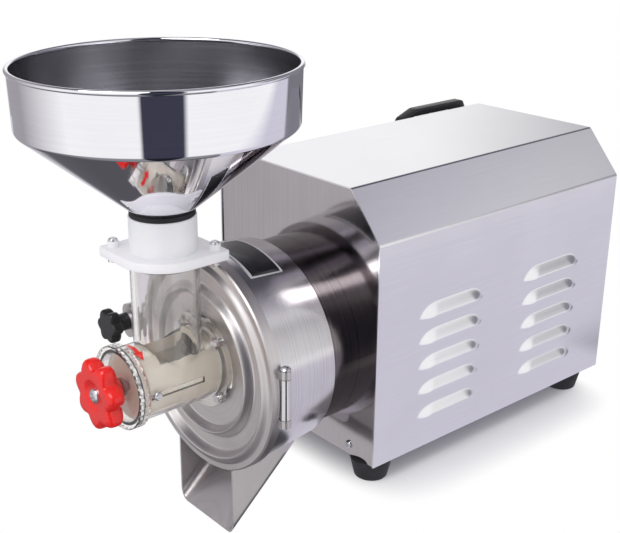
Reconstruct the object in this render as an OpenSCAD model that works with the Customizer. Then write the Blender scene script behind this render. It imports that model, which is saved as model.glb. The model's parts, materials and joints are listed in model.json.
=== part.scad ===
// Table-top nut butter and grain mill: motor box, hinged grinding drum, clear feed body, hopper.
// Millimetres, +Z up, the handwheel faces -Y. The frame sits at the bottom centre of the bounding box.

/* [Motor box] */
// Width of the bent hood over its sides
box_width = 242; // [220:1:280]
// Length of the hood from front to back
box_length = 362; // [330:1:420]
// Height of the hood from its lower edge to the roof
box_height = 277; // [260:1:320]
// Width of the long bevel beside the roof
bevel_width = 40; // [25:1:60]
// Height of the long bevel beside the roof
bevel_height = 46; // [25:1:60]
// Thickness of the stainless sheet
sheet = 1.5; // [1:0.1:3]
// How far the front and rear panels sit inside the hood
panel_inset = 1.2; // [0.5:0.1:4]
// Height of the upstands at the ends of the base tray
upstand = 22; // [18:1:30]
// Thickness of the base tray
tray = 2; // [1.5:0.1:4]

/* [Louvres] */
// Length of one pressed louvre
louvre_length = 92; // [70:1:110]
// Height of one pressed louvre
louvre_height = 14; // [9:0.5:18]
// How far a louvre stands proud of the hood
louvre_depth = 5; // [3:0.5:8]
// Distance from one louvre to the next one below
louvre_pitch = 27.5; // [22:0.5:32]
// Louvres in one column
louvre_rows = 5; // [3:1:5]
// Height of the lowest louvre's lower edge above the hood's edge
louvre_base = 33; // [28:1:40]
// Distance from the front edge of the hood to the first column
louvre_start = 57; // [40:1:80]
// Distance from the first column to the second
louvre_column = 156; // [130:1:180]
// Slant of a louvre's two ends along its length
louvre_slant = 7; // [3:0.5:12]

/* [Feet and handle] */
// Height of a rubber foot
foot_height = 22; // [16:1:35]
// Radius of a foot where it meets the tray
foot_top_radius = 21.5; // [18:0.5:24]
// Radius of a foot where it meets the table
foot_bottom_radius = 16.5; // [12:0.5:18]
// Distance of the feet from the hood's sides
foot_side = 21.5; // [21:0.5:30]
// Distance of the front feet from the hood's front edge
foot_front = 18; // [16:1:40]
// Distance of the rear feet from the hood's rear edge
foot_rear = 36; // [24:1:60]
// Length of the carrying handle over both ends
handle_length = 120; // [100:1:150]
// Width of the handle
handle_width = 14; // [12:1:18]
// Height of the handle above the roof
handle_height = 2.5; // [2:0.5:8]
// Thickness of the handle's grip
handle_grip = 8.5; // [6:0.5:10]
// Length of the handle's feet on the bevel
handle_end = 16; // [14:1:24]
// Length of the sloped front part of the grip
handle_lead = 23; // [10:1:26]
// Length of the sloped rear part of the grip
handle_tail = 5; // [3:1:18]
// Fall of the two sloped parts
handle_fall = 9; // [4:0.5:10]
// Distance of the handle from the roof's far fold
handle_side = 16; // [14:0.5:18]
// Distance of the handle from the hood's rear edge
handle_rear = 4; // [2:1:40]

/* [Motor] */
// Height of the motor's casing above the tray
motor_clearance = 13; // [8:1:24]
// Outer radius of the front bell between drum and box
neck_radius = 96; // [90:1:100]
// Length of the front bell before the hood's front edge
neck_length = 36; // [25:1:50]
// How far the front bell reaches behind the hood's front edge
neck_depth = 20; // [12:1:30]
// Wall of the front bell
neck_wall = 5; // [4:0.5:8]
// Thickness of the bells' end walls
bell_plate = 8; // [7:0.5:12]
// Outer radius of the motor's casing
casing_radius = 94; // [93:0.5:95]
// Wall of the motor's casing
casing_wall = 6; // [5:0.5:9]
// Length of the motor's casing
casing_length = 210; // [180:1:240]
// Length of the stator and the rotor
stack_length = 85; // [70:1:150]
// Radius of the rotor
rotor_radius = 51; // [40:1:60]
// Air gap between rotor and stator
air_gap = 0.5; // [0.4:0.1:1]
// Radius of the shaft at its bearings
shaft_radius = 14; // [12:0.5:16]
// Outer radius of a ball bearing
bearing_radius = 26; // [22:1:30]
// Width of a ball bearing
bearing_width = 15; // [12:1:18]
// Radius of the cooling fan
fan_radius = 72; // [50:1:80]
// Width of the cooling fan
fan_width = 22; // [15:1:30]
// Blades of the cooling fan
fan_blades = 8; // [6:1:12]
// Radius of the capacitor
capacitor_radius = 19; // [15:1:20]
// Length of the capacitor
capacitor_length = 84; // [60:1:100]

/* [Grinding drum] */
// Depth of the drum from its back to the door's joint
drum_depth = 69; // [62:1:85]
// Outer radius of the drum at its back
drum_back_radius = 103; // [100:0.5:106]
// Outer radius of the drum at the door
drum_front_radius = 109; // [107:0.5:112]
// Wall of the drum
drum_wall = 3; // [2.5:0.5:5]
// Width of the rim that the door closes on
drum_rim = 10; // [8:0.5:14]
// Depth of that rim
drum_rim_depth = 6; // [4:0.5:8]
// Radius of the grinding discs
disc_radius = 82; // [70:1:88]
// Thickness of a grinding disc
disc_thickness = 12; // [9:0.5:14]
// Radial furrows in each grinding face
furrows = 16; // [8:1:24]
// Width of a furrow
furrow_width = 4; // [2:0.5:6]
// Depth of a furrow
furrow_depth = 2; // [1:0.5:3]
// Width of the fine grinding land at a disc's edge
land_width = 10; // [6:0.5:16]
// Free gap between the grinding discs
grind_gap = 1.2; // [1.1:0.1:2.5]
// Length of the bare plate along the drum
plate_length = 38; // [25:1:45]
// Angle that the bare plate spans around the drum
plate_angle = 40; // [20:1:50]
// Thickness of the bare plate
plate_thickness = 0.8; // [0.5:0.1:1.2]

/* [Outlet chute] */
// Outer width of the chute
chute_width = 90; // [70:1:110]
// How far the chute's lip hangs below the feet's plane
chute_drop = 46; // [30:1:60]
// How far the chute's mouth reaches before the drum's joint
chute_reach = 10; // [6:0.5:10]
// Height of the chute's back edge above the feet's plane
chute_back_height = 24; // [15:1:30]
// Sheet of the chute
chute_sheet = 2; // [1.5:0.1:3]
// Outer radius of the bend between the chute's floor and sides
chute_bend = 10; // [5:0.5:16]

/* [Front door] */
// Depth of the door over its flat rim
cover_depth = 12; // [10:0.5:16]
// Radius of the door
cover_radius = 111.5; // [110:0.5:115]
// Wall of the door
cover_wall = 3; // [2.5:0.5:4]
// Height of the round ribs above the door's rim
rib_height = 4; // [2:0.5:6]
// Radius of the outer rib's crest
outer_rib = 98; // [96:0.5:100]
// Radius of the inner rib's crest
inner_rib = 72.5; // [68:0.5:76]
// Half width of a rib
rib_half = 7; // [5:0.5:8]
// Radius of the hinge knuckles
knuckle_radius = 5; // [4:0.5:7]
// Length of the hinge barrel on the drum
barrel_height = 40; // [30:1:50]
// Length of each hinge knuckle on the door
knuckle_height = 8; // [6:0.5:12]
// Radius of the hinge pin
pin_radius = 2.5; // [2:0.1:3]
// Distance of the hinge axis outside the drum's rim
hinge_out = 4.5; // [4:0.5:6]
// Half height of the latch ears
ear_half = 18.5; // [16:0.5:24]
// Half width of the latch ears
ear_round = 9.5; // [9:0.5:12]
// Thickness of the latch ear on the drum
drum_ear = 14; // [10:0.5:20]
// Height of the latch ear on the door above the door's joint
door_ear = 22; // [18:0.5:26]
// Height of the latch above the shaft
latch_rise = 5; // [0:1:10]
// Distance of the latch from the shaft
latch_reach = 115; // [115:0.5:120]

/* [Feed body and fineness] */
// Outer radius of the clear barrel
barrel_radius = 36; // [35:0.5:40]
// Bore of the clear barrel
barrel_bore = 33; // [31:0.5:33]
// Length of the clear barrel before the door's rim
barrel_length = 87; // [84:1:110]
// Thickness of the barrel's flange on the door
feed_plate = 6; // [4:0.5:8]
// Distance from the door's ribs to the feed tube
tube_clear = 0.5; // [0.5:0.5:5]
// Outer radius of the clear feed tube
tube_radius = 32; // [31:0.5:36]
// Bore of the feed tube
tube_bore = 28; // [24:0.5:28]
// Height of the feed tube's top above the shaft
tube_height = 114; // [95:1:130]
// Bore of the cream sleeve
sleeve_bore = 26; // [24:0.5:27]
// Coarse travel of the sleeve toward the handwheel
travel_coarse = 3; // [1:0.5:4]
// Radius of the sleeve's disc carrier
carrier_radius = 62; // [50:1:70]
// Thickness of the sleeve's disc carrier
carrier_plate = 6; // [4:0.5:8]
// Thickness of the sleeve's front wall
nut_plate = 12; // [11:0.5:14]
// Distance of the sleeve's front wall from the barrel's end
sleeve_setback = 8; // [7:0.5:12]
// Radius of the adjusting spindle
spindle_radius = 5; // [4:0.5:6]
// Thickness of the end cap's plate
cap_plate = 7; // [5:0.5:10]
// Radius of the end cap
cap_radius = 40; // [40:0.5:44]
// Number of finger grooves around the end cap
cap_grooves = 36; // [24:1:48]
// Radius of one finger groove
cap_groove = 1.5; // [1:0.1:1.8]
// Depth of the end cap's skirt over the barrel
cap_skirt = 4; // [3:0.5:4]
// Width of the guide slot in the barrel
slot_width = 5.6; // [5:0.1:7]
// Length of the guide slot
slot_length = 58; // [30:1:58]
// Radius of the feed screw's flight
screw_radius = 16; // [12:0.5:16]
// Length of the feed screw before the turning disc
screw_length = 54; // [46:1:58]
// Thickness of the feed screw's flight
flight = 6; // [4:0.5:8]
// Turns of the feed screw's flight
flight_turns = 2; // [1:0.5:3]
// Radius of the feed screw's core
core_radius = 8; // [6:0.5:9]

/* [Handwheel and clamp knob] */
// Lobes of the handwheel
wheel_lobes = 7; // [5:1:8]
// Radius of the handwheel over its lobes
wheel_radius = 34; // [30:0.5:38]
// Radius of one lobe
lobe_radius = 8.5; // [7:0.5:9]
// Thickness of the handwheel
wheel_thickness = 17; // [14:0.5:22]
// Distance of the handwheel from the end cap
wheel_standoff = 9; // [5:0.5:12]
// Radius of the handwheel's front recess
recess_radius = 12.5; // [11:0.5:15]
// Depth of the handwheel's front recess
recess_depth = 3; // [2:0.5:5]
// Radius of the clamp knob over its lobes
clamp_radius = 18; // [15:0.5:22]
// Thickness of the clamp knob's head
clamp_thickness = 12; // [9:0.5:15]
// Length of the clamp knob's hub
clamp_hub = 13; // [8:0.5:18]
// Radius of the clamp's threaded stud
stud_radius = 4; // [3:0.5:4]

/* [Hopper] */
// Outer radius of the hopper's rolled rim
rim_radius = 127; // [110:1:140]
// Radius of the wire-like rolled rim
rim_roll = 2.2; // [1.5:0.1:3]
// Radius of the hopper's wall at its lower edge
wall_radius = 124; // [105:1:125]
// Radius of the bend between the hopper's cone and wall
hopper_bend = 8; // [5:1:24]
// Height of the hopper's rim above the spigot's top
hopper_height = 132; // [110:1:160]
// Height of the hopper's cone as if it met the wall in a sharp edge
cone_height = 78; // [60:1:100]
// Outer radius of the hopper's spigot
spigot_radius = 28; // [26:0.5:28]
// Length of the hopper's spigot in its seat
spigot_length = 28; // [20:1:32]
// Thickness of the hopper's steel
hopper_sheet = 1.4; // [1:0.1:2]
// Height of the white seat's cylinder
seat_height = 33; // [30:1:45]
// Outer radius of the white seat's cylinder
seat_radius = 31; // [30.5:0.5:34]
// Half width of the seat's flange
flange_half = 43; // [41:0.5:46]
// Thickness of the seat's flange
flange_plate = 9; // [6:0.5:12]
// Height of the dark ring between hopper and seat
ring_height = 4; // [3:0.5:6]

/* [Switch and cable entry] */
// Width of the power switch
switch_width = 26; // [20:1:32]
// Height of the power switch
switch_height = 34; // [28:1:42]
// Length of the cable gland behind the rear panel
gland_length = 20; // [14:1:28]
// Height of the power switch above the hood's lower edge
switch_rise = 92; // [70:1:130]
// Height of the cable gland above the hood's lower edge
gland_rise = 45; // [35:1:60]
// Distance of the switch and the gland from the middle of the rear panel
rear_spread = 58; // [40:1:70]
// Radius of the cable gland
gland_radius = 10; // [8:0.5:12]
// Radius of the cable entry through the gland
gland_bore = 4; // [3:0.5:5]

/* [Fits] */
// Radial clearance of a running or sliding fit
run = 0.05; // [0.02:0.01:0.1]
// Clearance between bodies that move past each other
gap = 0.5; // [0.4:0.1:0.8]
// Clearance of a bolted or seated piece
seat = 0.1; // [0.05:0.05:0.2]
// Radius of a small screw's shank
screw_shank = 2; // [1.5:0.1:2.5]
// Radius of a small screw's pan head
screw_head = 4.3; // [3.5:0.1:5]
// Height of a small screw's pan head
screw_crown = 2.6; // [2:0.1:3.5]

/* [Hidden] */
$fn = 96;
// Overshoot of a cutting body
cut = 1;
half = box_width / 2;
roof_half = half - bevel_width;
hood_low = foot_height;
hood_top = foot_height + box_height;
bevel_run = sqrt(bevel_width * bevel_width + bevel_height * bevel_height);
tray_top = hood_low + tray;
shaft_height = tray_top + motor_clearance + casing_radius;
panel_front = panel_inset;
panel_rear = box_length - panel_inset;
screw_z = hood_low + upstand / 2;
y_back = -neck_length;
y_joint = y_back - drum_depth;
y_face = y_joint - cover_depth;
y_feed = y_face - rib_height - tube_clear - tube_radius;
y_barrel = y_face - barrel_length;
y_cap = y_barrel - cap_plate;
y_wheel = y_cap - wheel_standoff;
y_wheel_front = y_wheel - wheel_thickness;
cover_back = y_face + rib_height + cover_wall;
cover_front = y_face + rib_height;
y_carrier = cover_back + travel_coarse + gap;
y_static = y_carrier + carrier_plate;
y_static_back = y_static + disc_thickness;
y_moving = y_static_back + grind_gap;
y_moving_back = y_moving + disc_thickness;
disc_hub_radius = shaft_radius + 8;
disc_hub = 14;
disc_bore = shaft_radius - 4;
casing_front = neck_depth;
casing_rear = casing_front + casing_length;
stack_front = casing_front + (casing_length - stack_length) / 2;
fan_front = casing_rear + bell_plate + 2 * gap;
shaft_rear = fan_front + fan_width;
front_bearing = y_back + bell_plate;
rear_bearing = casing_rear - bearing_width;
hub_radius = bearing_radius + 6;
seal_radius = shaft_radius + 8;
drum_screw_ring = (seal_radius + drum_back_radius) / 2;
hinge_x = drum_front_radius + hinge_out;
hinge_y = y_joint;
latch_x = -latch_reach;
latch_z = shaft_height + latch_rise;
sleeve_radius = barrel_bore - run;
y_sleeve = y_barrel + sleeve_setback;
guide_y = y_sleeve + nut_plate / 2;
spindle_end = y_sleeve + nut_plate + 5;
disc_screw_ring = carrier_radius - 2 * screw_head;
disc_screw_depth = disc_thickness - 2 * furrow_depth - 2;
collar_plate = 2.5;
collar_radius = spindle_radius + 4;
feed_flange = 46;
feed_screw_ring = barrel_radius + 5;
tube_top = shaft_height + tube_height;
seat_top = tube_top + flange_plate + seat_height;
cone_low = seat_top + seat + ring_height;
rim_top = cone_low + hopper_height;
cone_out = wall_radius - spigot_radius;
cone_slant = sqrt(cone_out * cone_out + cone_height * cone_height);
bend_centre = [
    wall_radius - hopper_bend,
    cone_low + (hopper_bend * cone_slant + (cone_out - hopper_bend) * cone_height) / cone_out
];
bend_start = atan2(-cone_out, cone_height);
bend_steps = 8;
lug_offset = flange_half - 10;
lug_radius = 5.5;
lug_height = 6;
feed_ear = 5;
ear_web = 1.5 * lug_radius;
seat_bore = spigot_radius + gap;
ring_radius = seat_radius - 1;
washer_plate = 1.5;
washer_radius = stud_radius + 6;
y_ear = y_joint - door_ear;
y_washer = y_ear - seat - washer_plate;
y_clamp = y_washer - clamp_hub;
y_clamp_front = y_clamp - clamp_thickness;
chute_front = y_joint - chute_reach;
chute_rear = y_back;
switch_z = hood_low + switch_rise;
gland_z = hood_low + gland_rise;
gland_x = -rear_spread;
switch_x = rear_spread;
cradle_width = casing_length / 10;
cradle_inset = casing_length / 9;
capacitor_front = casing_front + casing_length / 3;
rocker_axis = 4;
pivot_radius = 1.5;
pivot_reach = 1;
flange_panel = 3;
rocker_tilt = 8;
handle_y = box_length - handle_rear - handle_length;
handle_x = -roof_half - handle_side - handle_width;
handle_draft = 12;
handle_thread = 6;
rib_steps = 12;
capacitor_x = -half + sheet + capacitor_radius + 6;
foot_places = [for (x = [-1, 1], y = [foot_front, box_length - foot_rear]) [x * (half - foot_side), y]];
front_screws = [for (x = [-1, 1]) x * (half - 36)];
low = -chute_drop;
front_end = y_feed - rim_radius;
rear_end = panel_rear + gland_length;
mid = (front_end + rear_end) / 2;
widest = max(rim_radius, half + louvre_depth);
side_shift = (widest - max(widest, latch_reach + clamp_radius)) / 2;

// Moves the machine's own coordinates to the frame at the bottom centre of the bounding box
module place() {
    translate([-side_shift, -mid, -low])
        children();
}

// Turns a revolved profile of [radius, y] points so that its axis is the shaft
module on_shaft() {
    translate([0, 0, shaft_height])
        rotate([-90, 0, 0])
            children();
}

module turned(points) {
    on_shaft()
        rotate_extrude()
            polygon(points);
}

// A plain ring or disc around the shaft from y0 to y1
module ring(y0, y1, outer, inner) {
    turned([[inner, y0], [outer, y0], [outer, y1], [inner, y1]]);
}

// A rod parallel to the shaft from y0 to y1
module rod(x, z, y0, y1, radius) {
    translate([x, y0, z])
        rotate([-90, 0, 0])
            cylinder(h = y1 - y0, r = radius);
}

// A pan-head screw whose head stands on y0 and whose shank runs to +Y
module pan_screw(x, z, y0, length) {
    rod(x, z, y0 - screw_crown, y0, screw_head);
    rod(x, z, y0, y0 + length, screw_shank);
}

// Copies a piece to places on a circle around the shaft
module around_shaft(count, radius, start) {
    for (i = [0 : count - 1])
        translate([radius * cos(start + i * 360 / count), 0, radius * sin(start + i * 360 / count)])
            children();
}

// Bends the hood's outline: inside = 0 is the outer face, inside = sheet is the inner face
function hood_outline(inside) = [
    [-half + inside, hood_low],
    [-half + inside, hood_top - bevel_height + inside * (bevel_height - bevel_run) / bevel_width],
    [-roof_half - inside * (bevel_width - bevel_run) / bevel_height, hood_top - inside],
    [roof_half + inside * (bevel_width - bevel_run) / bevel_height, hood_top - inside],
    [half - inside, hood_top - bevel_height + inside * (bevel_height - bevel_run) / bevel_width],
    [half - inside, hood_low]
];

// Extrudes an outline of [x, z] points from y0 to y1
module along_y(y0, y1) {
    translate([0, y1, 0])
        rotate([90, 0, 0])
            linear_extrude(y1 - y0)
                children();
}

// Extrudes an outline of [y, z] points from x0 to x1
module along_x(x0, x1) {
    translate([x0, 0, 0])
        rotate([90, 0, 90])
            linear_extrude(x1 - x0)
                children();
}

// Front view of a louvre with slanted ends, as [y, z] points
module louvre_front(wall) {
    polygon([
        [wall, 0],
        [louvre_length - wall, 0],
        [louvre_length - louvre_slant - wall, louvre_height - wall],
        [louvre_slant + wall, louvre_height - wall]
    ]);
}

// The wedge of one louvre on the +X side at the origin
module louvre_wedge(wall) {
    intersection() {
        along_x(-sheet - cut, louvre_depth)
            louvre_front(wall);
        along_y(0, louvre_length)
            polygon([
                [-sheet - cut, -cut],
                [louvre_depth - wall, -cut],
                [louvre_depth - wall, louvre_height / 2],
                [-wall, louvre_height - wall],
                [-sheet - cut, louvre_height - wall]
            ]);
    }
}

module louvre_places() {
    for (side = [0, 1])
        mirror([side, 0, 0])
            for (column = [0, 1])
                for (row = [0 : louvre_rows - 1])
                    translate([
                        half,
                        louvre_start + column * louvre_column,
                        hood_low + louvre_base + row * louvre_pitch
                    ])
                        children();
}

// Roof and two bevels of the hood, one folded sheet
module housing_cover() {
    outer = hood_outline(0);
    inner = hood_outline(sheet);
    place() color([0.8, 0.8, 0.82])
        difference() {
            along_y(0, box_length)
                polygon([for (i = [1 : 4]) outer[i], for (i = [4 : -1 : 1]) inner[i]]);
            handle_screw_places()
                translate([0, 0, -sheet - cut])
                    cylinder(h = sheet + 2 * cut, r = screw_shank + seat);
        }
}

// Two louvred sides of the hood, mitred to the bevels
module side_panels() {
    outer = hood_outline(0);
    inner = hood_outline(sheet);
    place() color([0.8, 0.8, 0.82])
        difference() {
            union() {
                for (side = [0, 1])
                    mirror([side, 0, 0])
                        along_y(0, box_length)
                            polygon([outer[4], outer[5], inner[5], inner[4]]);
                louvre_places()
                    intersection() {
                        louvre_wedge(0);
                        translate([-sheet / 2, 0, 0])
                            cube([louvre_depth + sheet, louvre_length, louvre_height]);
                    }
            }
            louvre_places()
                louvre_wedge(sheet);
        }
}

// Puts a screw's axis square on the far bevel under each foot of the handle
module handle_screw_places() {
    inset = handle_side + handle_width / 2;
    front = handle_y + (handle_end + handle_draft) / 2;
    rear = handle_y + handle_length - handle_end / 2;
    for (y = [front, rear])
        translate([-roof_half - inset, y, hood_top - inset * bevel_height / bevel_width])
            rotate([0, -atan2(bevel_height, bevel_width), 0])
                children();
}

// One flat end panel that fits inside the hood
module panel(y0) {
    along_y(y0, y0 + sheet)
        polygon(hood_outline(sheet + seat));
}

module panel_holes(y0) {
    for (x = front_screws)
        rod(x, screw_z, y0 - cut, y0 + sheet + tray + cut, screw_shank + seat);
}

module front_panel() {
    place() color([0.62, 0.6, 0.61])
        difference() {
            panel(panel_front);
            ring(panel_front - cut, panel_front + sheet + cut, neck_radius + seat, 0);
            panel_holes(panel_front);
        }
}

module switch_cut(y0, y1, room) {
    translate([switch_x - switch_width / 2 - room, y0, switch_z - switch_height / 2 - room])
        cube([switch_width + 2 * room, y1 - y0, switch_height + 2 * room]);
}

module rear_panel() {
    place() color([0.7, 0.7, 0.72])
        difference() {
            panel(panel_rear - sheet);
            panel_holes(panel_rear - sheet - tray);
            switch_cut(panel_rear - sheet - cut, panel_rear + cut, seat);
            rod(gland_x, gland_z, panel_rear - sheet - cut, panel_rear + cut, gland_radius - 3 + seat);
        }
}

module base_plate() {
    inner = half - sheet - seat;
    front = panel_front + sheet;
    rear = panel_rear - sheet;
    place() color([0.55, 0.55, 0.57])
        difference() {
            translate([-inner, front, hood_low])
                cube([2 * inner, rear - front, upstand]);
            translate([-inner - cut, front + tray, tray_top])
                cube([2 * inner + 2 * cut, rear - front - 2 * tray, upstand]);
            panel_holes(panel_front);
            panel_holes(panel_rear - sheet - tray);
            ring(front - cut, front + tray + cut, neck_radius + seat, 0);
            for (p = foot_places)
                translate([p[0], p[1], hood_low - cut])
                    cylinder(h = tray + 2 * cut, r = screw_shank + seat);
        }
}

module rubber_feet() {
    place() color([0.1, 0.1, 0.11])
        for (p = foot_places)
            translate([p[0], p[1], 0])
                difference() {
                    cylinder(h = foot_height, r1 = foot_bottom_radius, r2 = foot_top_radius);
                    translate([0, 0, -cut])
                        cylinder(h = foot_height / 2 + cut, r = screw_head + gap);
                    cylinder(h = foot_height + cut, r = screw_shank + seat);
                }
}

module foot_bolts() {
    place() color([0.7, 0.7, 0.7])
        for (p = foot_places)
            translate([p[0], p[1], foot_height / 2 - screw_crown]) {
                cylinder(h = screw_crown, r = screw_head);
                cylinder(h = screw_crown + foot_height / 2 + tray + 3, r = screw_shank);
            }
}

module carry_handle() {
    y0 = handle_y;
    y1 = handle_y + handle_length;
    base = hood_top - bevel_height;
    grip_top = hood_top + handle_height;
    shoulder = grip_top - handle_fall;
    grip_low = grip_top - handle_grip;
    place() color([0.08, 0.08, 0.09])
        difference() {
            along_x(handle_x, handle_x + handle_width)
                polygon([
                    [y0, base],
                    [y0 + handle_end, base],
                    [y0 + handle_end + handle_draft, grip_low],
                    [y1 - handle_end, grip_low],
                    [y1 - handle_end, base],
                    [y1, base],
                    [y1, shoulder],
                    [y1 - handle_tail, grip_top],
                    [y0 + handle_draft + handle_lead, grip_top],
                    [y0 + handle_draft, shoulder]
                ]);
            along_y(0, box_length)
                polygon(hood_outline(0));
            handle_screw_places()
                translate([0, 0, -cut])
                    cylinder(h = handle_thread + seat + cut, r = screw_shank + seat);
        }
}

// Screws from inside the hood out into the handle's feet
module handle_screws() {
    place() color([0.75, 0.75, 0.76])
        handle_screw_places() {
            translate([0, 0, -sheet - screw_crown])
                cylinder(h = screw_crown, r = screw_head);
            translate([0, 0, -sheet - cut])
                cylinder(h = sheet + cut + handle_thread, r = screw_shank);
        }
}

module panel_screws() {
    place() color([0.8, 0.8, 0.8])
        for (x = front_screws) {
            pan_screw(x, screw_z, panel_front, sheet + tray + 4);
            translate([0, panel_rear, 0])
                mirror([0, 1, 0])
                    pan_screw(x, screw_z, 0, sheet + tray + 4);
        }
}

module drum_neck() {
    front = y_back;
    hub_back = front_bearing + bearing_width;
    place() color([0.25, 0.24, 0.25])
        difference() {
            turned([
                [seal_radius, front],
                [neck_radius, front],
                [neck_radius, neck_depth],
                [neck_radius - neck_wall, neck_depth],
                [neck_radius - neck_wall, front + bell_plate],
                [hub_radius, front + bell_plate],
                [hub_radius, hub_back],
                [bearing_radius, hub_back],
                [bearing_radius, front_bearing],
                [seal_radius, front_bearing]
            ]);
            around_shaft(4, drum_screw_ring, 45)
                rod(0, shaft_height, front - cut, front + bell_plate + cut, screw_shank + seat);
        }
}

module motor_casing() {
    place() color([0.3, 0.32, 0.34])
        ring(casing_front, casing_rear, casing_radius, casing_radius - casing_wall);
}

module rear_bell() {
    place() color([0.3, 0.32, 0.34])
        turned([
            [shaft_radius + gap, casing_rear],
            [bearing_radius, casing_rear],
            [bearing_radius, rear_bearing],
            [hub_radius, rear_bearing],
            [hub_radius, casing_rear],
            [casing_radius, casing_rear],
            [casing_radius, casing_rear + bell_plate],
            [shaft_radius + gap, casing_rear + bell_plate]
        ]);
}

module stator() {
    place() color([0.45, 0.4, 0.36])
        ring(stack_front, stack_front + stack_length, casing_radius - casing_wall, rotor_radius + air_gap);
}

module bearings() {
    place() color([0.75, 0.75, 0.77])
        for (y = [front_bearing, rear_bearing])
            ring(y, y + bearing_width, bearing_radius, shaft_radius + run);
}

module motor_cradle() {
    wide = casing_radius * 0.75;
    place() color([0.3, 0.32, 0.34])
        difference() {
            for (y = [casing_front + cradle_inset, casing_rear - cradle_inset - cradle_width])
                translate([-wide, y, tray_top])
                    cube([2 * wide, cradle_width, motor_clearance + casing_radius / 2]);
            ring(casing_front, casing_rear, casing_radius, 0);
        }
}

module run_capacitor() {
    place() color([0.85, 0.85, 0.83])
        rod(capacitor_x, tray_top + capacitor_radius, capacitor_front, capacitor_front + capacitor_length,
            capacitor_radius);
}

module motor_shaft() {
    place() color([0.7, 0.7, 0.72])
        turned([
            [0, y_moving],
            [disc_bore, y_moving],
            [disc_bore, y_moving_back + disc_hub],
            [shaft_radius, y_moving_back + disc_hub],
            [shaft_radius, shaft_rear],
            [0, shaft_rear]
        ]);
}

module rotor_core() {
    place() color([0.5, 0.48, 0.46])
        ring(stack_front, stack_front + stack_length, rotor_radius, shaft_radius);
}

module cooling_fan() {
    fan_hub = shaft_radius + 8;
    place() color([0.2, 0.2, 0.22]) {
        ring(fan_front, fan_front + fan_width, fan_hub, shaft_radius);
        ring(fan_front, fan_front + 3, fan_radius, fan_hub);
        for (i = [0 : fan_blades - 1])
            on_shaft()
                rotate([0, 0, i * 360 / fan_blades])
                    translate([fan_hub - 1, -1.5, fan_front + 2])
                        cube([fan_radius - fan_hub, 3, fan_width - 2]);
    }
}

// Outer shape of the drum, also used to trim what is welded to it
module drum_solid(grow) {
    turned([
        [0, y_joint],
        [drum_front_radius + grow, y_joint],
        [drum_back_radius + grow, y_back],
        [0, y_back]
    ]);
}

// An ear with rounded ends around the latch's stud, from y0 to y1
module latch_ear(y0, y1) {
    inner = drum_back_radius - drum_wall;
    straight = ear_half - ear_round;
    for (z = [-straight, straight])
        rod(latch_x, latch_z + z, y0, y1, ear_round);
    translate([latch_x - ear_round, y0, latch_z - straight])
        cube([2 * ear_round, y1 - y0, 2 * straight]);
    translate([latch_x, y0, latch_z - ear_round])
        cube([-latch_x - inner, y1 - y0, 2 * ear_round]);
}

module grinding_drum() {
    inside = drum_wall;
    wide = chute_width - 2 * chute_sheet;
    place() color([0.75, 0.74, 0.75])
        difference() {
            union() {
                drum_solid(0);
                latch_ear(y_joint, y_joint + drum_ear);
                translate([hinge_x, hinge_y, shaft_height - barrel_height / 2])
                    cylinder(h = barrel_height, r = knuckle_radius);
                translate([drum_back_radius, hinge_y + 1, shaft_height - barrel_height / 2])
                    cube([hinge_x - drum_back_radius, knuckle_radius - 1, barrel_height]);
            }
            turned([
                [0, y_joint - cut],
                [drum_front_radius - drum_rim, y_joint - cut],
                [drum_front_radius - drum_rim, y_joint + drum_rim_depth],
                [drum_front_radius - inside, y_joint + drum_rim_depth],
                [drum_back_radius - inside, y_back - drum_wall],
                [0, y_back - drum_wall]
            ]);
            ring(y_back - drum_wall - cut, y_back + cut, seal_radius, 0);
            around_shaft(4, drum_screw_ring, 45)
                rod(0, shaft_height, y_back - drum_wall - cut, y_back + cut, screw_shank + seat);
            translate([-wide / 2, y_joint + drum_rim_depth, 0])
                cube([wide, drum_depth - drum_rim_depth - 2 * drum_wall, shaft_height - disc_radius / 2]);
            rod(latch_x, latch_z, y_joint - cut, y_joint + drum_ear + cut, stud_radius + 2 * gap);
            translate([hinge_x, hinge_y, shaft_height - barrel_height])
                cylinder(h = 2 * barrel_height, r = pin_radius + seat);
        }
}

// Cross-section of the chute's trough, square to its floor
module trough_outline(inside) {
    wide = chute_width / 2 - inside;
    bend = chute_bend - inside;
    translate([-wide, chute_bend])
        square([2 * wide, shaft_height]);
    translate([bend - wide, inside])
        square([2 * (wide - bend), chute_bend]);
    for (side = [-1, 1])
        translate([side * (wide - bend), chute_bend])
            circle(r = bend);
}

// The trough laid along the chute's slope, cut square at its mouth and at rear_y
module trough(inside, front_y, rear_y) {
    top = shaft_height - drum_back_radius / 2;
    slope = atan2(chute_back_height - low, chute_rear - chute_front);
    intersection() {
        translate([0, chute_front, low])
            rotate([slope, 0, 0])
                along_y(-shaft_height, 2 * drum_depth)
                    trough_outline(inside);
        translate([-chute_width, front_y, low - cut])
            cube([2 * chute_width, rear_y - front_y, top - low + cut + inside]);
    }
}

module outlet_chute() {
    place() color([0.72, 0.72, 0.73])
        difference() {
            trough(0, chute_front, chute_rear);
            trough(chute_sheet, chute_front - cut, chute_rear - chute_sheet);
            drum_solid(0);
            ring(y_face - cut, y_joint, cover_radius + 2 * gap, 0);
        }
}

module drum_screws() {
    place() color([0.75, 0.75, 0.77])
        around_shaft(4, drum_screw_ring, 45)
            pan_screw(0, shaft_height, y_back - drum_wall, drum_wall + bell_plate);
}

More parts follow.
